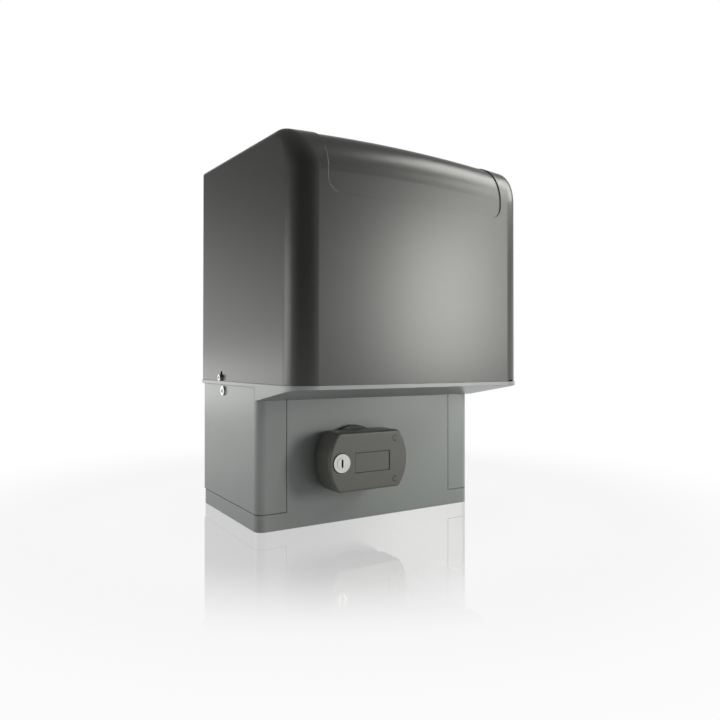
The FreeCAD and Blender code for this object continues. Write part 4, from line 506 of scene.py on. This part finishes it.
line = add(field, "GeometryNodeMeshLine", {"Count": (sizes, "Count"), "Start Location": (sizes, "First"),
                                           "Offset": (sizes, "Step")})
blocks = add(field, "GeometryNodeInstanceOnPoints", {"Points": (line, 0), "Instance": (block, 0)})
turn = add(field, "FunctionNodeRandomValue", {4: 0, 5: 1, "Seed": TURN_SEED}, data_type="INT")
angle = add(field, "ShaderNodeMath", {0: (turn, 2), 1: math.pi / 2}, operation="MULTIPLY")
angles = add(field, "ShaderNodeCombineXYZ", {"Z": (angle, 0)})
spread = add(field, "GeometryNodeInstanceOnPoints", {"Points": (thinned, 0), "Instance": (blocks, 0),
                                                     "Rotation": (angles, 0)})
upright = add(field, "GeometryNodeTransform", {"Geometry": (spread, 0), "Rotation": (math.pi / 2, 0, 0),
                                               "Translation": (sizes, "Centre")})
whole = add(field, "GeometryNodeRealizeInstances", {"Geometry": (upright, 0)})
dressed_up = add(field, "GeometryNodeSetMaterial", {"Geometry": (whole, 0), "Material": (sizes, "Finish")})
add(field, "NodeGroupOutput", {"Geometry": (dressed_up, 0)})
print("tree", field.name, "with", len(field.nodes), "nodes")


def grow(name, tree, values, body):
    """Runs a tree on an empty mesh and keeps the result as a plain mesh that rides on a body."""
    maker = bpy.data.objects.new(f"{name}_maker", bpy.data.meshes.new(f"{name}_maker"))
    bpy.context.scene.collection.objects.link(maker)
    modifier = maker.modifiers.new("tree", "NODES")
    modifier.node_group = tree
    for item in tree.interface.items_tree:
        if item.in_out == "INPUT":
            modifier[item.identifier] = values[item.name]
    bpy.context.view_layer.update()
    ready = maker.evaluated_get(bpy.context.evaluated_depsgraph_get())
    mesh = bpy.data.meshes.new_from_object(ready)
    maker.modifiers.clear()
    bpy.data.objects.remove(maker)
    piece = bpy.data.objects.new(name, mesh)
    bpy.context.scene.collection.objects.link(piece)
    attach(piece, body)
    print(name, len(mesh.polygons), "faces")
    return piece


# %% [markdown]
# The board carries fields of chip resistors and capacitors, 2.0 by 1.25 mm with tinned ends. They sit on its
# front face, which the CAD board gives.

# %% Parts on the circuit board
def at_mm(*millimetres):
    """A place or size given in millimetres, in metres."""
    return tuple(value * MM for value in millimetres)


# Chip ceramic under a glaze: brown black.
chip_body = moulded("chip_ceramic_black", "26221f", 0.45, grain=0.5)
# Tinned copper: bright and slightly grainy, from the solder.
tin = worked("tinned_copper", "c8c8c6", 0.35, mottle=1.0)
board_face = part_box("circuit_board")[0].y / MM
BODY, END, WIDE, THICK = 1.3, 0.34, 1.25, 0.55  # a chip: its bare body and each tinned end, in millimetres
END_AT, RAISED = 0.83, 0.28  # middle of an end from the chip's middle, and a chip's middle above the board
LOWER_UP, UPPER_UP, FILLED = 170, 191, 0.42  # heights of the two fields, and the share of places that are used
chips = {"Share": FILLED, "Seed": 11, "Field": at_mm(80, 20, 0), "Columns": 17, "Rows": 5, "Finish": chip_body,
         "Count": 1, "First": at_mm(0, 0, 0), "Step": at_mm(0, 0, 0), "Block": at_mm(BODY, WIDE, THICK),
         "Centre": at_mm(5, board_face - RAISED, LOWER_UP)}
upper = {"Seed": 23, "Field": at_mm(84, 16, 0), "Columns": 18, "Rows": 4,
         "Centre": at_mm(-28, board_face - RAISED, UPPER_UP)}
ends = {"Count": 2, "First": at_mm(-END_AT, 0, 0), "Step": at_mm(2 * END_AT, 0, 0),
        "Block": at_mm(END, WIDE, THICK), "Finish": tin}
grow("chips_lower", field, chips, "root")
grow("chips_upper", field, {**chips, **upper}, "root")
grow("chip_ends_lower", field, {**chips, **ends}, "root")
grow("chip_ends_upper", field, {**chips, **upper, **ends}, "root")

# %% [markdown]
# Each terminal is closed by a slotted screw, sunk in its own well in the green block. There are three blocks
# of six, 50 mm apart, with a way every 7.2 mm. One head is cut, then repeated on two lines of places.

# %% Terminal screws
STRIPS, STRIP_PITCH, WAYS, WAY_PITCH = 3, 50, 6, 7.2  # blocks of terminals and ways in each, in millimetres
FIRST_WAY, OUT, SUNK = 3.8, 7, 1.2  # first screw from its block's side, from the board and below the top
HEAD_RADIUS, HEAD_HEIGHT, HEAD_SIDES, SLOT_TURN = 1.75, 1.6, 28, math.radians(35)
screws, sizes = new_tree("terminal_screws", {
    "Blocks": "Int", "Block pitch": "Vector", "Ways": "Int", "Way pitch": "Vector", "First": "Vector",
    "Radius": "Float", "Height": "Float", "Slot": "Vector", "Finish": "Material"})
head = add(screws, "GeometryNodeMeshCylinder", {"Vertices": HEAD_SIDES, "Radius": (sizes, "Radius"),
                                                "Depth": (sizes, "Height")})
half_up = add(screws, "ShaderNodeMath", {0: (sizes, "Height"), 1: 0.5}, operation="MULTIPLY")
lift = add(screws, "ShaderNodeCombineXYZ", {"Z": (half_up, 0)})
cutter = add(screws, "GeometryNodeMeshCube", {"Size": (sizes, "Slot")})
cutter = add(screws, "GeometryNodeTransform", {"Geometry": (cutter, 0), "Translation": (lift, 0),
                                               "Rotation": (0, 0, SLOT_TURN)})
slotted = add(screws, "GeometryNodeMeshBoolean", {"Mesh 1": (head, 0), "Mesh 2": (cutter, 0)},
              operation="DIFFERENCE", solver="EXACT")
ways = add(screws, "GeometryNodeMeshLine", {"Count": (sizes, "Ways"), "Offset": (sizes, "Way pitch")})
strips = add(screws, "GeometryNodeMeshLine", {"Count": (sizes, "Blocks"), "Start Location": (sizes, "First"),
                                              "Offset": (sizes, "Block pitch")})
row = add(screws, "GeometryNodeInstanceOnPoints", {"Points": (ways, 0), "Instance": (slotted, 0)})
rows = add(screws, "GeometryNodeInstanceOnPoints", {"Points": (strips, 0), "Instance": (row, 0)})
whole = add(screws, "GeometryNodeRealizeInstances", {"Geometry": (rows, 0)})
painted = add(screws, "GeometryNodeSetMaterial", {"Geometry": (whole, 0), "Material": (sizes, "Finish")})
add(screws, "NodeGroupOutput", {"Geometry": (painted, 0)})

low, high = (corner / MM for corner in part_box("terminal_blocks"))
grow("terminal_screws", screws, {
    "Blocks": STRIPS, "Block pitch": at_mm(STRIP_PITCH, 0, 0), "Ways": WAYS, "Way pitch": at_mm(WAY_PITCH, 0, 0),
    "First": at_mm(low.x + FIRST_WAY, board_face - OUT, high.z - SUNK), "Radius": HEAD_RADIUS * MM,
    "Height": HEAD_HEIGHT * MM, "Slot": at_mm(5, 0.6, 1.4), "Finish": zinc_plate}, "root")

# %% [markdown]
# The release handle is marked with two small curved arrows, one for each way that it turns. They are printed
# on the real part, so here they are thin flat shapes that stand a tenth of a millimetre proud of the face.

# %% Turning marks
# Pad print ink: black, flat and even. The same black also paints the shade in the handle's gaps.
print_ink_and_gap_shade = moulded("pad_print_ink_and_painted_gap_shade", "232321", 0.5, grain=0.5)
FACE_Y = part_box("release_handle")[0].y
low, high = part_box("handle_spindle")
CENTRE = Vector((low.x + high.x, 0, low.z + high.z)) / 2


def on_handle(name, outlines, material, proud=0.1, thick=0.15):
    """Thin plates over outlines given in millimetres from the spindle, standing proud of the handle's face."""
    shape = bmesh.new()
    for outline in outlines:
        front = [shape.verts.new((CENTRE.x + x * MM, FACE_Y - proud * MM, CENTRE.z + z * MM)) for x, z in outline]
        back = [shape.verts.new(v.co + Vector((0, thick * MM, 0))) for v in front]
        shape.faces.new(front)
        shape.faces.new(back[::-1])
        for i in range(len(front)):
            j = (i + 1) % len(front)
            shape.faces.new((front[i], back[i], back[j], front[j]))
    bmesh.ops.recalc_face_normals(shape, faces=shape.faces)
    mesh = bpy.data.meshes.new(name)
    shape.to_mesh(mesh)
    shape.free()
    mesh.materials.append(material)
    piece = bpy.data.objects.new(name, mesh)
    bpy.context.scene.collection.objects.link(piece)
    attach(piece, "handle")
    print(name, len(mesh.polygons), "faces")


def band(inner, outer, first, last, centre=(0, 0), steps=22):
    """The outlines of a flat band along an arc, from the first angle to the last, in degrees."""
    turns = [math.radians(first + (last - first) * step / steps) for step in range(steps + 1)]
    rings = [[(centre[0] + r * math.cos(a), centre[1] + r * math.sin(a)) for a in turns] for r in (inner, outer)]
    return [[rings[0][i], rings[1][i], rings[1][i + 1], rings[0][i + 1]] for i in range(steps)]


ACROSS, UP = 27, 18.5  # an arrow's middle from the spindle, in millimetres
INNER, OUTER, FIRST, LAST = 2.1, 2.65, 40, 270  # the arrow's arc: its two radii and the angles of its ends
TIP = (1.2, 0), (3.5, 0), (2.35, 0.8)  # corners of its head: radius, and radians past the arc's end
for name, up, way in (("mark_open", UP, 1), ("mark_close", -UP, -1)):
    last = math.radians(LAST) * way
    tip = [(ACROSS + r * math.cos(last + a * way), up + r * math.sin(last + a * way)) for r, a in TIP]
    on_handle(name, band(INNER, OUTER, FIRST * way, LAST * way, (ACROSS, up)) + [tip], print_ink_and_gap_shade)

# %% [markdown]
# Painted shade gives the handle its drawn lines: thin black sheets stand where shade falls in the parting line round
# the sunk name plate, which is left bare, and in the clearance round the lock cylinder.

# %% Painted shade in the handle's gaps
(x0, z0), (x1, z1), w = (-15.5, -10.0), (21.5, 8.0), 0.7  # the plate's corners and its gap's width
PLATE_PROUD, LOCK_PROUD, GAP_THICK = -0.38, 0.05, 0.1  # the plate's gap lies below the handle's face
plate_sides = [[(x0, z0), (x1, z0), (x1, z0 + w), (x0, z0 + w)],
               [(x0, z1 - w), (x1, z1 - w), (x1, z1), (x0, z1)],
               [(x0, z0 + w), (x0 + w, z0 + w), (x0 + w, z1 - w), (x0, z1 - w)],
               [(x1 - w, z0 + w), (x1, z0 + w), (x1, z1 - w), (x1 - w, z1 - w)]]
# A thin black frame, sunk below the face, paints the shade in the gap round the name plate.
on_handle("plate_gap", plate_sides, print_ink_and_gap_shade, PLATE_PROUD, GAP_THICK)
low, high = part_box("lock_cylinder")
lock_across, lock_up = ((low + high) / 2 - CENTRE).x / MM, ((low + high) / 2 - CENTRE).z / MM
lock_radius = (high.x - low.x) / 2 / MM
GAP_FROM, GAP_TO, LOCK_STEPS = 0.02, 0.75, 48  # the ring's edges outside the lock, in millimetres
ring = band(lock_radius + GAP_FROM, lock_radius + GAP_TO, 0, 360, (lock_across, lock_up), LOCK_STEPS)
# A thin black ring paints the shade in the clearance round the lock cylinder.
on_handle("lock_gap", ring, print_ink_and_gap_shade, LOCK_PROUD, GAP_THICK)
